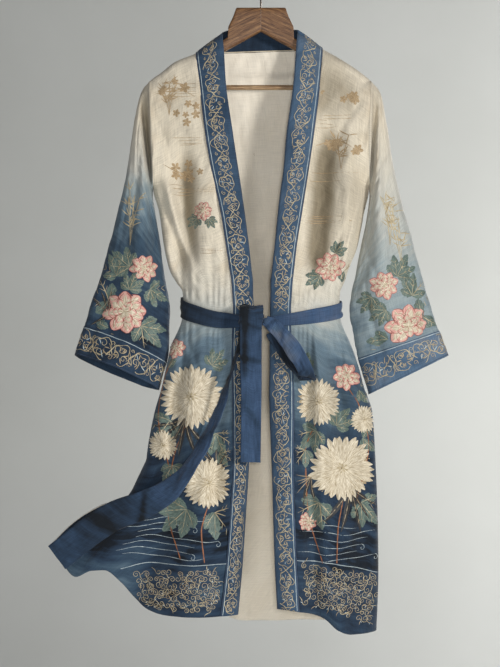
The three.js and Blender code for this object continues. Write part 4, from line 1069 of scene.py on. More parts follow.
def bambooSpray(x, d, height, seed, thread="tan"):
    # slender canes in one root, with joints and leaves in threes
    rng = np.random.default_rng(seed)
    out = []
    for k in range(4):
        lean = rng.uniform(-0.28, 0.28)
        tall = height * rng.uniform(0.7, 1.0)
        topX = x + math.sin(lean) * tall
        middle = (x * 0.6 + topX * 0.4, d - tall * 0.5)
        out.append(line([(x, d), middle, (topX, d - tall)], 0.9, thread, height=0.5))
        for share in (0.45, 0.7, 0.95):
            lx, ld = mix(x, topX, share ** 1.2), d - tall * share
            for turn in rng.uniform(-0.9, 0.9, 3):
                size = rng.uniform(14, 24)
                out.append(petal(lx, ld, -math.pi / 2 + turn * 1.6 + 0.2, size, size * 0.15, thread,
                                 bend=0.25, height=0.5, blunt=0.8))
    return out


def blossomBranch(points, seed):
    # a plum branch: a crooked line with five-petalled flowers along it
    rng = np.random.default_rng(seed)
    out = [line(points, 1.2, "umber", taper=0.6)]
    points = np.asarray(points, float)
    for k in range(7):
        share = rng.uniform(0.1, 1.0) * (len(points) - 1)
        i = min(int(share), len(points) - 2)
        x, d = mix(points[i], points[i + 1], share - i) + rng.normal(0, 7, 2)
        size = rng.uniform(7, 12)
        start = rng.uniform(0, 6)
        for j in range(5):
            out.append(petal(x, d, start + j * 2 * math.pi / 5, size, size * 0.85, "umber", height=0.45,
                             blunt=1.3, count=7))
    return out


def mistLines(x, d, width, count, seed):
    # broken level lines of running stitch, as drawn for mist
    rng = np.random.default_rng(seed)
    out = []
    for k in range(count):
        a = x + rng.uniform(-0.5, 0.1) * width
        b = a + width * rng.uniform(0.35, 0.95)
        y = d + k * 4.6 + rng.normal(0, 0.7)
        points = [(a, y), ((a + b) / 2, y + rng.normal(0, 1)), (b, y + rng.normal(0, 1))]
        out.append(line(points, 0.75, "umber", 10, height=0.35))
    return out


def streamLines(x0, x1, d0, count, gap, seed):
    # a stream drawn in the old way: long level waves, with rows that part and curl at their ends
    rng = np.random.default_rng(seed)
    out = []
    wave = rng.uniform(0, 6)
    for k in range(count):
        a = mix(x0, x1, rng.uniform(0, 0.3))
        b = mix(x0, x1, rng.uniform(0.62, 1.0))
        x = np.linspace(a, b, 26)
        swell = 4.5 * np.sin(x / 34 + wave + k * 0.35) + 1.5 * np.sin(x / 13 + k)
        path = np.stack([x, d0 + k * gap + swell], axis=-1)
        out.append(stitch(path, 0.7 * (1 - 0.6 * np.abs(np.linspace(-1, 1, 26)) ** 4), "pale", 0.45))
        if k % 2:
            out.append(spiral(b - 1, d0 + k * gap + swell[-1] + 7, 7, 0.9, -math.pi / 2, 1, 0.7, "pale"))
    return out


def bladeFan(x, d, size, heading, seed):
    # long arching blades that spread from one root, dark with a pale rib each
    rng = np.random.default_rng(seed)
    out = []
    for k in range(6):
        a = heading + mix(-0.75, 0.75, k / 5) + rng.normal(0, 0.05)
        long = size * rng.uniform(0.72, 1.0)
        bend = mix(-0.55, 0.55, k / 5)
        base = 0.05 + 0.05 * k
        out.append(petal(x, d, a, long, size * 0.12, "ink", bend=bend, height=0.6, base=base,
                         blunt=0.95, count=11))
        out.append(petal(x, d, a, long * 0.93, size * 0.012 + 0.6, "sand", bend=bend, height=0.3,
                         base=base + 0.57, count=11))
    return out


def roundel(a, b, radius, seed):
    # a scroll medallion: an uneven open ring, curls that face each other and small leaves
    rng = np.random.default_rng(seed)
    start = rng.uniform(0, 2 * np.pi)
    radius = radius * rng.uniform(0.92, 1.12)
    out = []
    for share, turns in ((1.0, rng.uniform(0.78, 0.95)), (0.74, rng.uniform(0.3, 0.5))):
        turn = start + 2 * np.pi * np.linspace(0, turns, 26)
        ring = share * radius * (1 + 0.13 * np.sin(3 * turn + start) + 0.09 * np.sin(5 * turn + seed))
        path = np.stack([a + ring * np.cos(turn), b + ring * np.sin(turn)], axis=-1)
        out.append(stitch(path, 0.92, "tan", 0.5))
        start = start + 2.6
    count = 2 + seed % 2
    for k in range(count):
        turned = start + 2 * math.pi * k / count
        reach = 0.43 if count == 2 else 0.5
        size = radius * (0.45 if count == 2 else 0.34) * rng.uniform(0.85, 1.15)
        out.append(spiral(*offset(a, b, radius * reach, turned), size, rng.uniform(1.0, 1.5),
                          turned + 2.2 + rng.normal(0, 0.4), 1 if seed % 3 else -1, 0.84, "tan"))
        for j in range(3):
            heading = turned + 0.7 + j * 0.7 + rng.normal(0, 0.2)
            thread = "pale" if (j + seed) % 4 == 0 else "sand"
            out.append(petal(*offset(a, b, radius * 0.3, heading), heading, radius * rng.uniform(0.4, 0.72),
                             radius * 0.16, thread, bend=rng.normal(0, 0.5), height=0.4, count=7))
    return out


def scrollBand(length, pitch, radius, seed, skip=()):
    # medallions along a band, woven together by two running vines with a curl in each gap;
    # skip holds stretches left plain
    rng = np.random.default_rng(seed)
    count = int(length / pitch)
    pitch = length / count
    out = []
    for k in range(count):
        b = (k + 0.5) * pitch
        if any(low < b < high for low, high in skip):
            continue
        out += roundel(rng.normal(0, 0.9), b, radius, seed + k)
        for side in (1, -1):
            lean = side * rng.uniform(0.35, 0.75)
            out.append(line([(lean * radius, b + radius * 0.72), (lean * radius * 0.1, b + pitch / 2),
                             (-lean * radius, b + pitch - radius * 0.72)], 0.9, "tan", 10))
            out.append(spiral(-side * radius * 0.72, b + pitch / 2 + rng.normal(0, 1),
                              radius * rng.uniform(0.2, 0.32), 1.2, side + rng.normal(0, 0.5), side, 0.8,
                              "tan" if side > 0 else "sand"))
    return out


def scrollField(corners, pitch, seed):
    # closely packed curls that fill the space between an upper and a lower line; corners are
    # (x, upper, lower) from one side to the other
    rng = np.random.default_rng(seed)
    xs, upper, lower = (np.array(c, float) for c in zip(*corners))
    out = []
    cols = max(2, int((xs[-1] - xs[0]) / pitch))
    for i in range(cols):
        x = xs[0] + (i + 0.5) * (xs[-1] - xs[0]) / cols
        top, low = np.interp(x, xs, upper), np.interp(x, xs, lower)
        rows = max(1, int((low - top) / pitch))
        for j in range(rows):
            cx = x + rng.normal(0, pitch * 0.14) + (j % 2 - 0.5) * pitch * 0.5
            cd = top + (j + 0.5) * (low - top) / rows + rng.normal(0, pitch * 0.14)
            if (i in (0, cols - 1) or j in (0, rows - 1)) and rng.uniform() < 0.2:
                continue
            size = pitch * rng.uniform(0.5, 0.72)
            start = rng.uniform(0, 2 * np.pi)
            way = 1 if rng.uniform() < 0.5 else -1
            thread = "tan" if rng.uniform() < 0.75 else "sand"
            out.append(spiral(cx, cd, size, rng.uniform(1.1, 1.6), start, way, 0.72, thread))
            tail = rng.uniform(0.8, 1.5) * pitch
            mouth, heading = offset(cx, cd, size, start), start - way * 1.5
            out.append(petal(*mouth, heading, tail, 1.7, thread, bend=way * 0.9, height=0.5))
            if rng.uniform() < 0.6:
                out.append(petal(*mouth, heading + way, pitch * 0.42, pitch * 0.2, "pale",
                                 height=0.4, count=7))
    return out


def locateIn(view, low, high):
    # the surface's two parameters for places in the drawing: the nearest of a coarse set,
    # then a few Newton steps; offsets across a strip use the same slopes
    a, b = np.meshgrid(np.linspace(low[0], high[0], 60), np.linspace(low[1], high[1], 90), indexing="ij")
    seen = view(a, b).reshape(-1, 2)
    a, b = a.ravel(), b.ravel()
    small = ((high[0] - low[0]) * 1e-3, (high[1] - low[1]) * 1e-3)

    def slopes(p, q):
        # the view's change for a small step in each parameter
        here = view(p, q)
        dp = (view(p + small[0], q) - here) / small[0]
        dq = (view(p, q + small[1]) - here) / small[1]
        area = dp[..., 0] * dq[..., 1] - dp[..., 1] * dq[..., 0]
        return here, dp, dq, np.where(np.abs(area) < 1e-6, 1e-6, area)

    def solve(dp, dq, area, miss):
        # the two steps that make up for a miss, by the inverse of a two by two matrix
        return ((miss[..., 0] * dq[..., 1] - miss[..., 1] * dq[..., 0]) / area,
                (dp[..., 0] * miss[..., 1] - dp[..., 1] * miss[..., 0]) / area)

    def locate(path, aside):
        # every place of a path, and those aside from it by a part of the strip's width
        middle = path[:, path.shape[1] // 2]
        near = ((seen ** 2).sum(1)[None] - 2 * middle @ seen.T).argmin(1)
        p = np.repeat(a[near][:, None], path.shape[1], axis=1)
        q = np.repeat(b[near][:, None], path.shape[1], axis=1)
        for _ in range(8):
            here, dp, dq, area = slopes(p, q)
            stepP, stepQ = solve(dp, dq, area, path - here)
            p = np.clip(p + np.clip(stepP, -0.3, 0.3), low[0], high[0])
            q = np.clip(q + stepQ, low[1], high[1])
        here, dp, dq, area = slopes(p, q)
        good = np.linalg.norm(path - here, axis=-1).max(axis=1) < 1.0
        stepP, stepQ = solve(dp[:, :, None], dq[:, :, None], area[:, :, None], aside)
        return p[..., None] + stepP, q[..., None] + stepQ, good
    return locate


def readGrid(points, col, row):
    # between the grid's points the surface is read in proportion to the four around it
    i = np.clip(np.floor(col), 0, points.shape[1] - 2).astype(int)
    j = np.clip(np.floor(row), 0, points.shape[0] - 2).astype(int)
    fc, fr = (col - i)[..., None], (row - j)[..., None]
    upper = mix(points[j, i], points[j, i + 1], fc)
    return mix(upper, mix(points[j + 1, i], points[j + 1, i + 1], fc), fr)


def sew(name, slotName, jobs, locate, surface, outward, nudge):
    # locate turns the drawing to the surface's two parameters and surface gives the points;
    # across a strip, t from -1 to 1, the lift is base + height * (1 - t^2) - 0.25 * t^2
    points, quads, uvs, kinds = [], [], [], []
    total = 0
    rng = np.random.default_rng(3)
    groups = {}
    for job in jobs:
        groups.setdefault((len(job["path"]), 5 if job["half"].max() > 2.2 else 3), []).append(job)
    for (size, across), group in sorted(groups.items(), key=lambda g: g[0]):
        t = np.linspace(-1, 1, across)
        path = np.stack([j["path"] for j in group])
        half = np.stack([j["half"] for j in group])
        ahead = np.gradient(path, axis=1)
        ahead /= np.maximum(np.linalg.norm(ahead, axis=2, keepdims=True), 1e-6)
        side = np.stack([-ahead[..., 1], ahead[..., 0]], axis=-1)
        p, q, good = locate(path, side[:, :, None, :] * (half[..., None] * t)[..., None])
        here = surface(p, q)
        normal = np.cross(surface(p + nudge[0], q) - here, surface(p, q + nudge[1]) - here) * outward
        normal /= np.maximum(np.linalg.norm(normal, axis=-1, keepdims=True), 1e-9)
        height = np.array([j["height"] for j in group])[:, None, None]
        base = np.array([j["base"] for j in group])[:, None, None]
        lift = base + height * (1 - t * t) * np.minimum(1, half / 0.6)[..., None] - 0.25 * t * t
        made = (here + normal * lift[..., None])[good]
        half, path, normal = half[good], path[good], normal[good]
        count = len(made)
        if not count:
            continue
        facing = np.cross(made[:, 0, 1] - made[:, 0, 0], made[:, 1, 0] - made[:, 0, 0])
        cell = gridQuads(size, across, flip=float((facing * normal[:, 0, 0]).sum()) < 0)
        first = np.arange(count)[:, None, None] * size * across + total
        quads.append((cell[None] + first).reshape(-1, 4))
        far = np.linalg.norm(np.diff(path, axis=1), axis=2).cumsum(axis=1)
        far = np.concatenate([np.zeros((count, 1)), far], axis=1)[..., None] + np.zeros(across)
        start = rng.uniform(0, 300, (count, 1, 1))
        uvs.append(np.stack([half[..., None] * t + start, far + start], axis=-1).reshape(-1, 2) * 0.001)
        points.append(made.reshape(-1, 3))
        kinds.append(np.repeat([threadNames.index(j["thread"]) for j, g in zip(group, good) if g],
                               (size - 1) * (across - 1)))
        total += count * size * across
    points, quads, uvs, kinds = (np.concatenate(v) for v in (points, quads, uvs, kinds))
    piece = makeMesh(name, points, quads.tolist(), uvs)
    used = sorted(set(kinds.tolist()))
    settle(piece, slotName, [threads[threadNames[k]] for k in used])
    piece.data.polygons.foreach_set("material_index", np.searchsorted(used, kinds).astype(np.int32))
    print(name, len(quads) * 2, "triangles")


# what is embroidered where: places are (x, down) in mm as seen from the front
skirtLeft = {
    "mums": [(-138, 862, 63, 1), (-106, 1034, 50, 2), (-196, 960, 30, 4)],
    "peonies": [(-172, 766, 21, 3)],
    "leaves": [(-182, 910, 2.2, 58), (-90, 935, 1.2, 52), (-92, 1092, 0.9, 62), (-148, 1086, 2.4, 66),
               (-84, 976, 0.3, 34), (-186, 806, -2.2, 42), (-98, 800, -0.9, 40), (-176, 1000, 1.5, 44)],
    "fans": [(-150, 905, 92, 1.9, 5), (-90, 1010, 60, -1.3, 6)],
    "stems": [[(-112, 1190), (-118, 1130), (-106, 1080)],
              [(-160, 1185), (-186, 1090), (-176, 990), (-150, 920)],
              [(-182, 1010), (-206, 900), (-192, 820), (-176, 784)]],
    "streams": (-310, -66, 1108, 7, 12, 7),
}
skirtRight = {
    "mums": [(160, 1004, 67, 11), (113, 872, 46, 12), (206, 908, 28, 19)],
    "peonies": [(172, 822, 27, 13), (92, 1110, 19, 14)],
    "leaves": [(110, 930, 2.3, 50), (204, 946, 0.2, 44), (116, 1072, 2.1, 62), (200, 1074, 0.9, 58),
               (150, 920, -0.9, 44), (88, 806, -2.0, 38), (196, 850, 0.3, 38), (88, 968, 2.2, 40)],
    "fans": [(176, 1040, 96, 1.2, 15), (100, 1020, 74, 2.4, 16)],
    "stems": [[(122, 1192), (92, 1080), (88, 970), (108, 916)], [(150, 1192), (152, 1130), (162, 1070)],
              [(190, 1070), (216, 960), (196, 880), (176, 848)]],
    "streams": (66, 236, 1118, 6, 13, 18),
}
chest = {
    True: {"branches": [([(-205, 292), (-168, 310), (-136, 298), (-108, 318)], 21),
                        ([(-196, 398), (-158, 414), (-128, 404)], 22),
                        ([(-210, 256), (-172, 244), (-132, 262)], 29)],
           "caneThread": "umber",
           "mist": [(-160, 238, 80, 6, 23), (-150, 346, 100, 4, 24), (-150, 440, 100, 5, 25),
                    (-110, 566, 60, 3, 26)],
           "canes": [(-184, 300, 70, 28)], "peonies": [(-116, 492, 19, 27)],
           "leaves": [(-126, 506, 2.5, 26), (-104, 508, 1.0, 22)]},
    False: {"branches": [([(98, 262), (130, 250), (160, 274), (196, 262)], 31),
                         ([(110, 360), (150, 348), (184, 366)], 32)],
            "caneThread": "umber",
            "mist": [(130, 300, 110, 6, 33), (150, 412, 120, 5, 34), (130, 500, 120, 4, 35)],
            "canes": [(160, 408, 80, 36)], "peonies": [(138, 604, 29, 37)],
            "leaves": [(118, 622, 2.6, 34), (166, 612, 0.5, 36), (150, 575, -1.0, 28)]},
}
sleeveArt = {
    True: {"peonies": [(-272, 694, 45, 41), (-234, 606, 27, 42)],
           "leaves": [(-306, 670, -2.6, 60), (-240, 722, 0.8, 58), (-306, 726, 2.4, 50),
                      (-262, 604, -2.4, 50), (-222, 648, 0.6, 44), (-290, 620, -1.9, 46),
                      (-262, 650, -1.2, 40), (-336, 744, 1.9, 30)],
           "canes": [(-262, 560, 120, 43)], "fans": [(-300, 700, 60, -2.6, 44)]},
    False: {"peonies": [(294, 722, 45, 51), (246, 640, 28, 52)],
            "leaves": [(326, 700, -0.6, 58), (254, 748, 2.4, 50), (326, 754, 0.7, 48), (222, 664, 2.2, 40),
                       (272, 622, -1.1, 50), (304, 660, -1.5, 46), (250, 690, 2.6, 40)],
            "canes": [(284, 610, 150, 53), (258, 560, 100, 54)], "fans": [(320, 730, 56, 0.1, 55)]},
}
# the back isn't seen from the front: it carries the same border and one large spray
backArt = {
    "mums": [(-52, 920, 72, 71), (66, 1016, 64, 72), (52, 850, 46, 73), (-112, 1050, 44, 83)],
    "peonies": [(-136, 842, 34, 74), (138, 900, 30, 84), (-24, 440, 30, 75)],
    "leaves": [(-100, 1000, 2.6, 58), (0, 1070, 1.7, 56), (132, 1050, 0.6, 56), (8, 880, -1.8, 50),
               (104, 940, 0.2, 50), (-160, 1090, 2.2, 50), (-30, 1010, 1.2, 54), (-104, 812, -0.8, 44),
               (-172, 868, 2.6, 44), (160, 860, -0.6, 40), (96, 812, -0.9, 38), (-56, 456, 2.7, 38),
               (8, 456, 0.3, 38)],
    "fans": [(-70, 985, 90, 1.9, 76), (120, 1010, 80, 0.4, 77)],
    "stems": [[(-20, 1185), (-60, 1090), (-56, 980)], [(20, 1185), (110, 1120), (84, 1070)],
              [(-60, 1185), (-176, 1040), (-160, 930), (-142, 872)], [(60, 1185), (156, 1060), (142, 926)]],
    "streams": (-200, 200, 1108, 7, 12, 78),
    "mist": [(-90, 290, 150, 6, 79), (70, 500, 160, 5, 80), (-100, 560, 120, 4, 85), (90, 330, 120, 5, 86)],
    "branches": [([(-130, 380), (-60, 352), (20, 384), (100, 356)], 81),
                 ([(60, 250), (110, 262), (160, 244)], 87)],
    "canes": [(-150, 480, 90, 88), (140, 470, 110, 89)],
}
# the hem's border: (x, upper, lower) of the scrolls, and the couched line above them
hemBand = {
    "left": {"field": [(-252, 1214, 1262), (-200, 1208, 1292), (-150, 1206, 1290), (-84, 1204, 1286)],
             "line": [(-280, 1206), (-220, 1194), (-150, 1196), (-66, 1192)], "seed": 61},
    "right": {"field": [(84, 1192, 1272), (150, 1200, 1290), (190, 1212, 1306), (232, 1222, 1318)],
              "line": [(70, 1186), (120, 1190), (180, 1200), (234, 1216)], "seed": 62},
    "pitch": 10.8, "backPitch": 14.5,
    "backField": [(-215, 1218, 1288), (0, 1212, 1290), (215, 1218, 1300)],
    "backLine": [(-226, 1206), (0, 1200), (226, 1206)],
}


def drawPanel(art):
    # every motif that a table names, in the order in which it is sewn
    out = []
    if "streams" in art:
        out += streamLines(*art["streams"])
    for mist in art.get("mist", []):
        out += mistLines(*mist)
    for points, seed in art.get("branches", []):
        out += blossomBranch(points, seed)
    for x, d, height, seed in art.get("canes", []):
        out += bambooSpray(x, d, height, seed, art.get("caneThread", "tan"))
    for points in art.get("stems", []):
        out.append(line(points, 1.5, "rust", 22, 0.3, 0.8))
    for x, d, radius, heading, seed in art.get("fans", []):
        out += bladeFan(x, d, radius, heading, seed)
    for x, d, heading, size in art.get("leaves", []):
        out += lobedLeaf(x, d, heading, size)
    for mum in art.get("mums", []):
        out += chrysanthemum(*mum)
    for flower in art.get("peonies", []):
        out += peony(*flower)
    return out


def panelView(onLeft, atBack=False):
    # the place across a panel for an angle of the body's oval, and where the front view shows it
    sign = -1 if onLeft or atBack else 1

    def place(angle, down):
        # the oval's middle, and its reach times the angle's cosine to the panel's side
        middle, reach = girth(down)
        return middle + sign * reach * np.cos(angle)

    def view(angle, down):
        # depth is left out here, so that folds don't move the drawing
        turn = 1.5 * np.pi - angle if atBack else sign * (np.pi / 2 - angle)
        blown = angle if onLeft or atBack else np.full_like(angle, np.pi)
        seen = blow(place(angle, down), 0.0, down, turn, blown)
        return np.stack([seen[..., 0], -seen[..., 2]], axis=-1)
    return place, view


def trim(jobs, onLeft):
    # nothing is sewn past the neckband's seam: lines are cut short there, petals left out
    out = []
    for job in jobs:
        x, down = job["path"].T
        past = robeAt["seamL"](down) - 3 - x if onLeft else x - robeAt["seamR"](down) - 3
        inside = past > job["half"]
        if inside.all():
            out.append(job)
        elif job["height"] < 0.5 and inside.sum() > 4:
            kept = job["path"][inside]
            at = np.linspace(0, len(kept) - 1, len(x))
            path = np.stack([np.interp(at, np.arange(len(kept)), kept[:, k]) for k in (0, 1)], axis=-1)
            out.append({**job, "path": path})
    return out


def sewFront(name, onLeft):
    # the design and the hem's border, laid on the front through its front view
    place, view = panelView(onLeft)
    border = hemBand["left" if onLeft else "right"]
    jobs = trim(drawPanel(chest[onLeft]) + drawPanel(skirtLeft if onLeft else skirtRight), onLeft)
    jobs += scrollField(border["field"], hemBand["pitch"], border["seed"])
    jobs.append(line(border["line"], 0.9, "pale", 60, 0.1, 0.6))
    sew(name + "_stitching", "linen", jobs, locateIn(view, (0.03, 180), (1.5, 1293)),
        lambda angle, down: frontSurface(place(angle, down), down, onLeft), -1 if onLeft else 1, (0.003, 0.6))


def sewBack():
    # the same on the back, as seen through the cloth from the front
    place, view = panelView(False, atBack=True)
    jobs = drawPanel(backArt)
    jobs += scrollField(hemBand["backField"], hemBand["backPitch"], 82)
    jobs.append(line(hemBand["backLine"], 0.9, "pale", 90, 0.1, 0.6))
    sew("back_stitching", "linen", jobs, locateIn(view, (0.12, 180), (np.pi - 0.12, 1293)),
        lambda angle, down: backSurface(place(angle, down), down), 1, (0.003, 0.6))


def sewSleeve(name, table, onLeft, seed):
    # a sleeve's design, laid on the half of its rings that faces the front
    at = readTable(table, "along")

    def view(angle, along):
        # a ring is seen as its oval between top and underarm, moved by the ring's lean
        row = {key: read(along) for key, read in at.items()}
        top, under = (row["topX"], row["topDown"]), (row["underX"], row["underDown"])
        seen = [(a + b) / 2 + (a - b) / 2 * np.cos(angle) for a, b in zip(top, under)]
        seen[1] = seen[1] - row["lean"] * row["depth"] * np.sin(angle)
        return np.stack(np.broadcast_arrays(*seen), axis=-1)

    sew(name + "_stitching", "linen", drawPanel(sleeveArt[onLeft]),
        locateIn(view, (0.1, 0.02), (np.pi - 0.1, 0.895)),
        lambda angle, along: sleeveSurface(table, along, angle, seed), -1 if onLeft else 1, (0.006, 0.002))


def bandPanel(points, wrapped):
    # a band's drawing is (mm from its middle, mm along it); a wrapped band runs round its
    # columns, and an open one along its rows
    grid = np.swapaxes(points, 0, 1) if wrapped else points
    if wrapped:
        grid = np.concatenate([grid, grid[:1]])
    centre = grid[:, grid.shape[1] // 2]
    far = np.concatenate([[0], np.linalg.norm(np.diff(centre, axis=0), axis=1).cumsum()])
    wide = np.linalg.norm(np.diff(grid, axis=1), axis=2).sum(axis=1)
    steps = np.arange(len(far))

    def locate(path, aside):
        # the grid's column and row for a place across and along the band
        full = path[:, :, None, :] + aside
        row = np.interp(full[..., 1], far, steps)
        col = (0.5 + full[..., 0] / np.interp(row, steps, wide)) * (grid.shape[1] - 1)
        return np.clip(col, 0, grid.shape[1] - 1.001), row, np.ones(len(path), bool)

    return locate, lambda col, row: readGrid(grid, col, row), far, wide


def couch(at, along, half, thread, height, base=0.0):
    # a line laid along a band at a place across it, and held down
    return stitch(np.stack([at, along], axis=-1), half, thread, height, base)


def sewCollar():
    # scrolls along the middle, couched lines along both edges, and none of it under the belt
    locate, surface, far, wide = bandPanel(collarPoints, False)
    length = far[-1]
    heights = -collarPoints[:, collarPoints.shape[1] // 2, 2]
    plainFrom, plainTo = collarBand["plain"]
    beltRows = far[(heights > plainFrom) & (heights < plainTo)]
    middle = length / 2
    low, high = beltRows[beltRows < middle], beltRows[beltRows > middle]
    jobs = scrollBand(length, 40, 15.5, 101, skip=((low.min(), low.max()), (high.min(), high.max())))
    b = np.linspace(2, length - 2, 900)
    edge = -np.interp(b, far, wide) / 2
    jobs.append(couch(edge + 5.4, b, 0.95, "pale", 0.5))
    jobs.append(couch(edge + 1.5, b, 1.1, "navy", 0.9))
    jobs.append(couch(-edge - 2.0, b, 0.6, "navy", 0.4))
    # a cream piping lies along the seam on the neckband's inner face, behind the neck
    b = b[np.abs(b - middle) < 118]
    piping = [couch(-np.interp(b, far, wide) / 2 + 1.4, b, 1.5, "cream", 1.0, 2.7)]
    sew("collar_piping", "border", piping, locate, surface, -1, (0.02, 0.02))
    sew("collar_stitching", "border", jobs, locate, surface, 1, (0.02, 0.02))


def sewCuff(name, points, onLeft):
    # scrolls round the cuff between a pale and a dark couched line
    locate, surface, far, wide = bandPanel(points, True)
    length = far[-1]
    jobs = scrollBand(length, 41, 20.0, 131 if onLeft else 151)
    b = np.linspace(0, length, 240)
    edge = -np.interp(b, far, wide) / 2
    jobs += [couch(edge + 3.0, b, 1.0, "pale", 0.6), couch(-edge - 3.0, b, 0.7, "navy", 0.5)]
    sew(name + "_stitching", "border", jobs, locate, surface, 1 if onLeft else -1, (0.02, 0.02))


sewFront("front_right", True)
sewFront("front_left", False)
sewBack()
sewCollar()
sewSleeve("sleeve_right", sleeveOnLeft, True, 41)
sewSleeve("sleeve_left", sleeveOnRight, False, 47)
sewCuff("cuff_right", cuffPoints["cuff_right"], True)
sewCuff("cuff_left", cuffPoints["cuff_left"], False)
print("stitching made")

# the belt: one strip, shown as its wrap, knot, two tails and a loop

belt = {
    "thick": 2.0, "slot": "sash", "materials": [sashLinen], "out": 4.4, "pieces": 300, "across": 15,
    "half": 160,    # mm, half the body's width there
    # the dye by x, deepest on the left: painted shade on the side that turns from the light
    "shadeX": [-160, -110, -50, 60, 160], "dye": [0.97, 0.84, 0.6, 0.36, 0.28],
    # the strip is pulled in at the knot, and less so on its way there
    "pullX": [-160, -110, -70, -44, -20, 4, 24, 60, 110, 160],
    "pull": [0.93, 0.86, 0.83, 0.74, 0.5, 0.42, 0.56, 0.72, 0.74, 0.74],
}
# each strip's dye along it is deeper where the strip twists edge-on or turns under: painted shade
tailFront = {
    "x": [-19, -19, -19, -19, -20, -20, -19, -20, -21],
    "y": [-66, -78, -88, -93, -94.5, -96, -99, -101, -102],
    "down": [685, 686, 690, 703, 732, 791, 852, 922, 991],
    "width": [44, 46, 47, 46, 43, 43, 41, 40, 40],
    "turn": [0, 0, 0, 0, 3, 8, 8, 4, 0],
    "creases": [(0.62, 0.010, 2.6, 0.02), (0.70, 0.03, -1.6, -0.06), (0.46, 0.012, 1.2, 0.05),
                (0.83, 0.02, 1.3, 0.1)],
    "pleat": (-0.3, 0.16, 4.2),
    "dye": [0.76, 0.74, 0.56, 0.42, 0.46],
}
tailBlown = {
    "x": [-36, -44, -57, -76, -102, -136, -182, -236, -292, -342, -380, -408],
    "y": [-80, -83, -94, -104, -105, -103, -93, -73, -64, -60, -56, -48],
    "down": [726, 764, 806, 866, 930, 992, 1046, 1078, 1100, 1132, 1162, 1184],
    "width": [14, 16, 22, 29, 35, 41, 48, 55, 58, 58, 58, 58],
    "turn": [55, 66, 72, 70, 62, 48, 26, 6, -4, 2, 4, 4],
    "creases": [(0.22, 0.012, 1.6, 0.03), (0.38, 0.016, 2.2, -0.05), (0.52, 0.02, -2.0, 0.06),
                (0.63, 0.012, 2.4, 0.05), (0.77, 0.014, 2.0, -0.04), (0.88, 0.02, -1.8, 0.05)],
    "dye": [1.0, 1.0, 0.7, 0.42, 0.46, 0.62, 0.88, 0.72, 0.6],
}
beltLoop = {
    "x": [8.2, 26, 50, 74, 88, 92, 85, 64, 38, 18],
    "y": [-84, -92, -104, -110, -106, -95, -86, -82, -79, -78],
    "down": [710, 723, 749, 784, 811, 822, 815, 791, 758, 733],
    "width": [20, 28, 34, 36, 36, 36, 36, 34, 30, 22],
    "turn": [10, 16, 24, 30, 34, 36, 34, 26, 18, 10],
    "creases": [(0.08, 0.02, 1.8, 0.04), (0.2, 0.015, 1.2, -0.05)],
    "dye": [0.3, 0.2, 0.3, 0.8, 1.0, 0.95, 0.7],
}
knot = {"x": -19, "y": -75.3, "down": 708, "halfWide": 25, "halfHigh": 20, "halfDeep": 15,
        "square": 0.75, "dye": 0.78}


def makeWrap():
    # the body's own oval at each height moved out, with a soft crown and lengthwise creases
    angle = np.linspace(-0.5 * np.pi, 1.5 * np.pi, belt["pieces"], endpoint=False)[None, :]
    t = np.linspace(-0.5, 0.5, belt["across"])[:, None]
    front = np.cos(angle) > 0
    ends = [belt["pull"][0], belt["pull"][-1]]
    pull = np.where(front, readCurve(belt["pullX"], belt["pull"])(belt["half"] * np.sin(angle)),
                    mix(*ends, (1 + np.sin(angle)) / 2))
    down = beltAt["down"](angle) + 3 * oval(np.sin(angle), 4) * front + t * beltAt["width"](angle) * pull
    left, right = robeAt["left"](down) - belt["out"], robeAt["right"](down) + belt["out"]
    x = (left + right) / 2 + (right - left) / 2 * np.sin(angle)
    deep = np.where(front, -robeAt["front"](down) - belt["out"], robeAt["back"](down) + belt["out"])
    y = deep * oval(np.sin(angle), body["ovalPower"])
    points = np.stack(np.broadcast_arrays(x, y, -down), axis=-1)
    normal = gridNormals(np.concatenate([points, points[:, :1]], axis=1))[:, :-1]
    swell = 1.6 * oval(2 * t, 4) + 0.9 * np.sin(9 * t + 1.5 * np.sin(3 * angle)) * oval(2 * t, 3)
    swell = swell + 0.5 * rumple(angle * 70, t * 160, 51, 40)
    points = points - normal * swell[..., None]
    # the dye by x, darker to the left, is painted shade
    dye = readCurve(belt["shadeX"], belt["dye"])(points[..., 0])
    piece = clothPiece("belt_wrap", points, belt, wrapped=True, flip=True, values={"dye": dye})


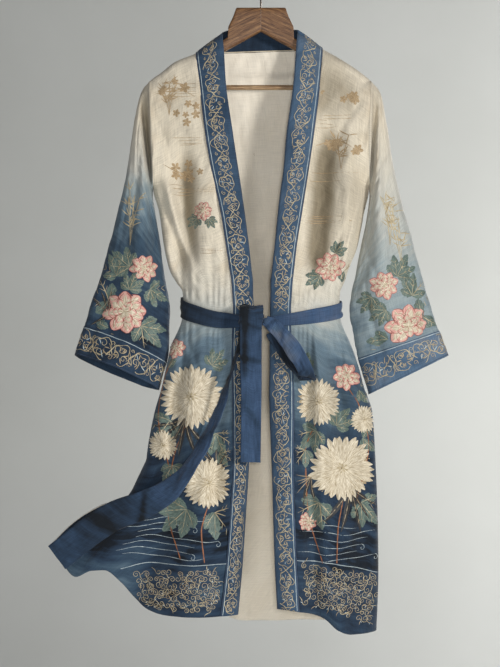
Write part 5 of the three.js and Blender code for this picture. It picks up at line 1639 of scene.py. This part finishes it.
def makeStrip(name, table, steps, curl=0.0, ruffle=0.0, seed=60):
    # a band carried along a path, its width turned about the path; curl bends its edges
    # forward by the square across, ruffle waves them, and a crease is a bell across the band:
    # place, width, depth, slant; a pleat runs along it and fades out below: place, width, depth
    names = ("x", "y", "down", "width", "turn")
    read = {key: readCurve(np.linspace(0, 1, len(table[key])), table[key]) for key in names + ("dye",)}
    s = np.linspace(0, 1, steps)
    centre = np.stack([read["x"](s), read["y"](s), -read["down"](s)], axis=-1)
    ahead = np.gradient(centre, axis=0)
    ahead /= np.linalg.norm(ahead, axis=1, keepdims=True)
    flatWay = np.cross([0.0, -1.0, 0.0], ahead)
    flatWay /= np.linalg.norm(flatWay, axis=1, keepdims=True)
    turn = np.radians(read["turn"](s))[:, None]
    side = flatWay * np.cos(turn) + np.cross(ahead, flatWay) * np.sin(turn)
    face = np.cross(side, ahead)
    t = np.linspace(-0.5, 0.5, belt["across"])[None, :, None]
    along = s[:, None, None]
    lift = curl * (2 * t) ** 2 + ruffle * t * 2 * np.sin(along * 21 + seed)
    far = along * steps * 2.2    # about the mm along the strip
    lift = lift + 1.5 * rumple(t * 60, far, seed, 60) + 0.7 * rumple(t * 80, far, seed + 1, 22)
    dent = sum(bell((along - place - slant * t) / wide) * deep
               for place, wide, deep, slant in table["creases"])
    place, wide, deep = table.get("pleat", (0, 1, 0))
    dent = dent + deep * bell((t - place) / wide) * ease((0.84 - along) / 0.26)
    across = side[:, None, :] * t * read["width"](along)
    points = centre[:, None, :] + across + face[:, None, :] * (lift - dent)
    # the dents and the pleat are darker: painted shade in them
    dye = 0.13 * np.maximum(0, dent) + read["dye"](along) + 0.06 * rumple(t * 60, far, seed + 2, 50)
    piece = clothPiece(name, points, belt, values={"dye": dye})


def makeKnot():
    # a ball whose sines and cosines are squared up by a power below 1, with the grooves of the
    # strip that wraps round it
    rows, cols = 58, 96
    v = np.linspace(-np.pi / 2, np.pi / 2, rows + 2)[1:-1, None]
    u = np.linspace(0, 2 * np.pi, cols, endpoint=False)[None, :]
    groove = 1 - 0.05 * np.cos(5 * (np.sin(v) * 2.4 + 0.5 * np.sin(2 * u))) - 0.03 * np.sin(7 * v + 2 * u)
    x = knot["x"] + knot["halfWide"] * squared(np.cos(v) * np.cos(u), knot["square"]) * groove
    y = knot["y"] + knot["halfDeep"] * squared(np.cos(v) * np.sin(u), knot["square"]) * groove
    z = -knot["down"] + knot["halfHigh"] * squared(np.sin(v), knot["square"]) * groove
    points = np.stack(np.broadcast_arrays(x, y, z), axis=-1).reshape(-1, 3)
    # a point closes each end of the ball
    ends = [[knot["x"], knot["y"], -knot["down"] + way * knot["halfHigh"]] for way in (-1, 1)]
    here, low = np.arange(cols), np.full(cols, rows * cols)
    onward, last = (here + 1) % cols, (rows - 1) * cols
    faces = gridQuads(rows, cols, wrapped=True).tolist()
    faces += np.stack([here, low, onward], axis=-1).tolist()
    faces += np.stack([last + here, last + onward, low + 1], axis=-1).tolist()
    uv = np.stack(np.broadcast_arrays(u * 0.02, v * 0.02), axis=-1).reshape(-1, 2)
    piece = makeMesh("belt_knot_cloth", np.concatenate([points, ends]), faces,
                     np.concatenate([uv, np.zeros((2, 2))]), {"dye": np.full(len(points) + 2, knot["dye"])})
    settle(piece, belt["slot"], belt["materials"], "belt_knot")


makeWrap()
makeKnot()
makeStrip("belt_tail_front", tailFront, 160, curl=-1.5, seed=61)
makeStrip("belt_tail_blown", tailBlown, 260, curl=2.0, ruffle=2.0, seed=64)
makeStrip("belt_loop", beltLoop, 160, curl=1.0, seed=67)
print("belt made")

# hanger

hanger = {
    "halfThick": 11.5, "armEnd": 206, "rows": 90, "round": 48,
    "corners": [0.5, 30, 48, 50.5, 56, 66, 72, 112, 150, 162, 168, 192, 200, 206],
    "blockEnd": 66, "endFrom": 190, "square": 0.38,
    "topX": [0, 48, 50.5, 56, 66], "topDown": [80, 80, 82, 98, 119],
    "underX": [0, 74, 120, 150, 162, 168, 192, 206], "underDown": [128, 169, 197, 217, 228, 250, 254, 240],
}


def makeArm(name, sign):
    # flat faces with rounded edges between a top and an under edge, cut square at the mitre
    corners = hanger["corners"]
    x = np.interp(np.linspace(0, len(corners) - 1, hanger["rows"]), np.arange(len(corners)), corners)
    x = np.concatenate([[0.12, 0.3], x])
    block = np.interp(x, hanger["topX"], hanger["topDown"])
    seam = abs(robe["seamL"][0] if sign < 0 else robe["seamR"][0])
    cloth = shoulderAt(sign * x) + mix(12, 5, ease((x - seam + 4) / 10))
    top = np.where(x <= hanger["blockEnd"], block, cloth)
    under = np.interp(x, hanger["underX"], hanger["underDown"])
    ending = np.maximum(0, (x - hanger["endFrom"]) / (hanger["armEnd"] - hanger["endFrom"]))
    thick = hanger["halfThick"] * np.sqrt(1 - 0.6 * ending ** 2)
    high = (under - top) / 2 * np.sqrt(1 - 0.5 * ending ** 2)
    angle = np.linspace(0, 2 * np.pi, hanger["round"], endpoint=False)[None, :]
    y = thick[:, None] * squared(np.sin(angle), hanger["square"])
    z = -((top + under) / 2)[:, None] + high[:, None] * squared(np.cos(angle), hanger["square"])
    points = np.stack(np.broadcast_arrays(sign * x[:, None], y, z), axis=-1)
    # the grain follows the arm, which slopes down from the middle by about 24 degrees
    flat = points.reshape(-1, 3) * 0.001
    along = np.abs(flat[:, 0]) * 0.91 - flat[:, 2] * 0.41
    across = np.abs(flat[:, 0]) * 0.41 + flat[:, 2] * 0.91 + flat[:, 1] * 0.5
    uv = np.stack([along + (0.7 if sign > 0 else 0), across], axis=-1)
    piece = makeMesh(name + "_wood", points, tubeFaces(*points.shape[:2], sign < 0), uv, flatEnds=2)
    settle(piece, "wood", [oak], name)


def makeRod(name, path, radius, finish, slotName, sides=16):
    # a round section carried along a path, closed at both ends
    path = np.asarray(path, float)
    ahead = np.gradient(path, axis=0)
    ahead /= np.linalg.norm(ahead, axis=1, keepdims=True)
    first = np.cross(ahead, [0.0, 1.0, 0.0])
    first /= np.linalg.norm(first, axis=1, keepdims=True)
    second = np.cross(ahead, first)
    angle = np.linspace(0, 2 * np.pi, sides, endpoint=False)[None, :, None]
    section = first[:, None, :] * np.cos(angle) + second[:, None, :] * np.sin(angle)
    points = path[:, None, :] + radius * section
    uv = np.stack(np.broadcast_arrays(path[:, None, 0], angle[..., 0] * radius), axis=-1) * 0.001
    piece = makeMesh(name + "_round", points, tubeFaces(*points.shape[:2], True), uv, flatEnds=2)
    settle(piece, slotName, [finish], name)


makeArm("hanger_arm_right", -1)
makeArm("hanger_arm_left", 1)
bar = {"half": 178, "down": 240.5, "radius": 5, "pieces": 60}
rod = np.linspace([-bar["half"], 0, -bar["down"]], [bar["half"], 0, -bar["down"]], bar["pieces"])
makeRod("hanger_bar", rod, bar["radius"], dowelOak, "wood", 24)
# the wire's axis: up out of the wood, then round the bend
hook = {"wire": 1.75, "bend": 21.75, "middle": -20}
sweep = np.radians(np.linspace(-20, 200, 60))
ringPart = np.stack([np.cos(sweep), 0 * sweep, np.sin(sweep)], axis=-1) * hook["bend"]
ringPart += [0, 0, hook["middle"]]
stem = np.array([[0, 0, -79.6], [0, 0, -70], [0.2, 0, -62], [4, 0, -52], [14, 0, -40]])
knots = np.concatenate([stem, ringPart[::6]])
pathShare = np.linspace(0, 1, len(knots))
fine = np.linspace(0, 1, 140)
makeRod("hanger_hook", np.stack([readCurve(pathShare, knots[:, k])(fine) for k in range(3)], axis=-1),
        hook["wire"], bronze, "wire")
print("hanger made")

# room, light and camera

studio = {
    # the wall is far enough back for the other views to stand in front of it
    "wall": "#dfe0dd", "wallY": 9500, "floorDown": 2900, "sweep": 1500, "room": 0.16,
    "lights": [
        # name, place, what it aims at, size, power, colour
        ("key", (2.65, -3.25, -0.25), (0, 0, -0.7), 0.8, 100, (1.0, 0.98, 0.95)),
        ("front", (0.12, -4.7, -0.72), (0, 0, -0.75), 0.4, 56, (1.0, 0.99, 0.97)),
        ("low", (-0.35, -2.0, -2.0), (0, 0, -1.15), 0.5, 8, (1.0, 0.99, 0.97)),
        ("fill", (-2.6, -1.6, -0.4), (0, 0, -0.7), 2.0, 5, (0.93, 0.96, 1.0)),
        ("back", (2.2, 4.6, 0.5), (0, 0, -0.75), 1.4, 160, (1.0, 0.99, 0.97)),
        ("wall wash", (4.3, 5.6, -0.7), (0.7, 9.5, -0.6), 1.3, 236, (1.0, 1.0, 0.99)),
    ],
    "lens": 130, "cameraPlace": (-0.022, -4.857, -0.7365),
}


def makeStage():
    # a floor that sweeps up into a wall
    finish, tree, shader = newMaterial("Plaster matt grey")
    place = addNode(tree, "ShaderNodeTexCoord")
    patch = addNode(tree, "ShaderNodeTexNoise",
            {"Vector": place.outputs["Object"], "Scale": 0.6, "Detail": 5.0})
    tone = addNode(tree, "ShaderNodeMix", {"Factor": patch.outputs["Fac"], "A": linear(studio["wall"]),
            "B": linear("#bfc0bb")}, data_type="RGBA")
    tree.links.new(tone.outputs["Result"], shader.inputs["Base Color"])
    shader.inputs["Roughness"].default_value = 0.95
    bend = np.radians(np.linspace(0, 90, 16))
    radius = studio["sweep"]
    y = np.concatenate([[-13000], studio["wallY"] - radius + radius * np.sin(bend), [studio["wallY"]]])
    z = np.concatenate([[0], radius - radius * np.cos(bend), [7500]]) - studio["floorDown"]
    x = np.array([-13000.0, 13000.0])
    points = np.stack(np.broadcast_arrays(x[None, :], y[:, None], z[:, None]), axis=-1)
    wall = makeMesh("floor", points, gridQuads(len(y), 2).tolist())
    wall.data.materials.append(finish)


def addLight(name, place, target, size, power, colour):
    # a round area light turned towards what it aims at
    light = bpy.data.lights.new(name, "AREA")
    light.shape = "DISK"
    light.size = size
    light.energy = power
    light.color = colour
    lamp = bpy.data.objects.new(name, light)
    lamp.location = place
    aim = np.subtract(target, place)
    tilt = math.atan2(math.hypot(aim[0], aim[1]), -aim[2])
    lamp.rotation_euler = (tilt, 0, math.atan2(aim[1], aim[0]) - math.pi / 2)
    bpy.context.scene.collection.objects.link(lamp)


makeStage()
for light in studio["lights"]:
    addLight(*light)
world = bpy.data.worlds.new("room")
world.use_nodes = True
world.node_tree.nodes["Background"].inputs["Color"].default_value = (0.93, 0.95, 1.0, 1)
world.node_tree.nodes["Background"].inputs["Strength"].default_value = studio["room"]
bpy.context.scene.world = world
camera = bpy.data.objects.new("camera", bpy.data.cameras.new("camera"))
camera.data.lens = studio["lens"]
camera.location = studio["cameraPlace"]
camera.rotation_euler = (math.pi / 2, 0, 0)
bpy.context.scene.collection.objects.link(camera)
bpy.context.scene.camera = camera
bpy.context.scene.view_settings.view_transform = "Standard"
print("room, light and camera made")
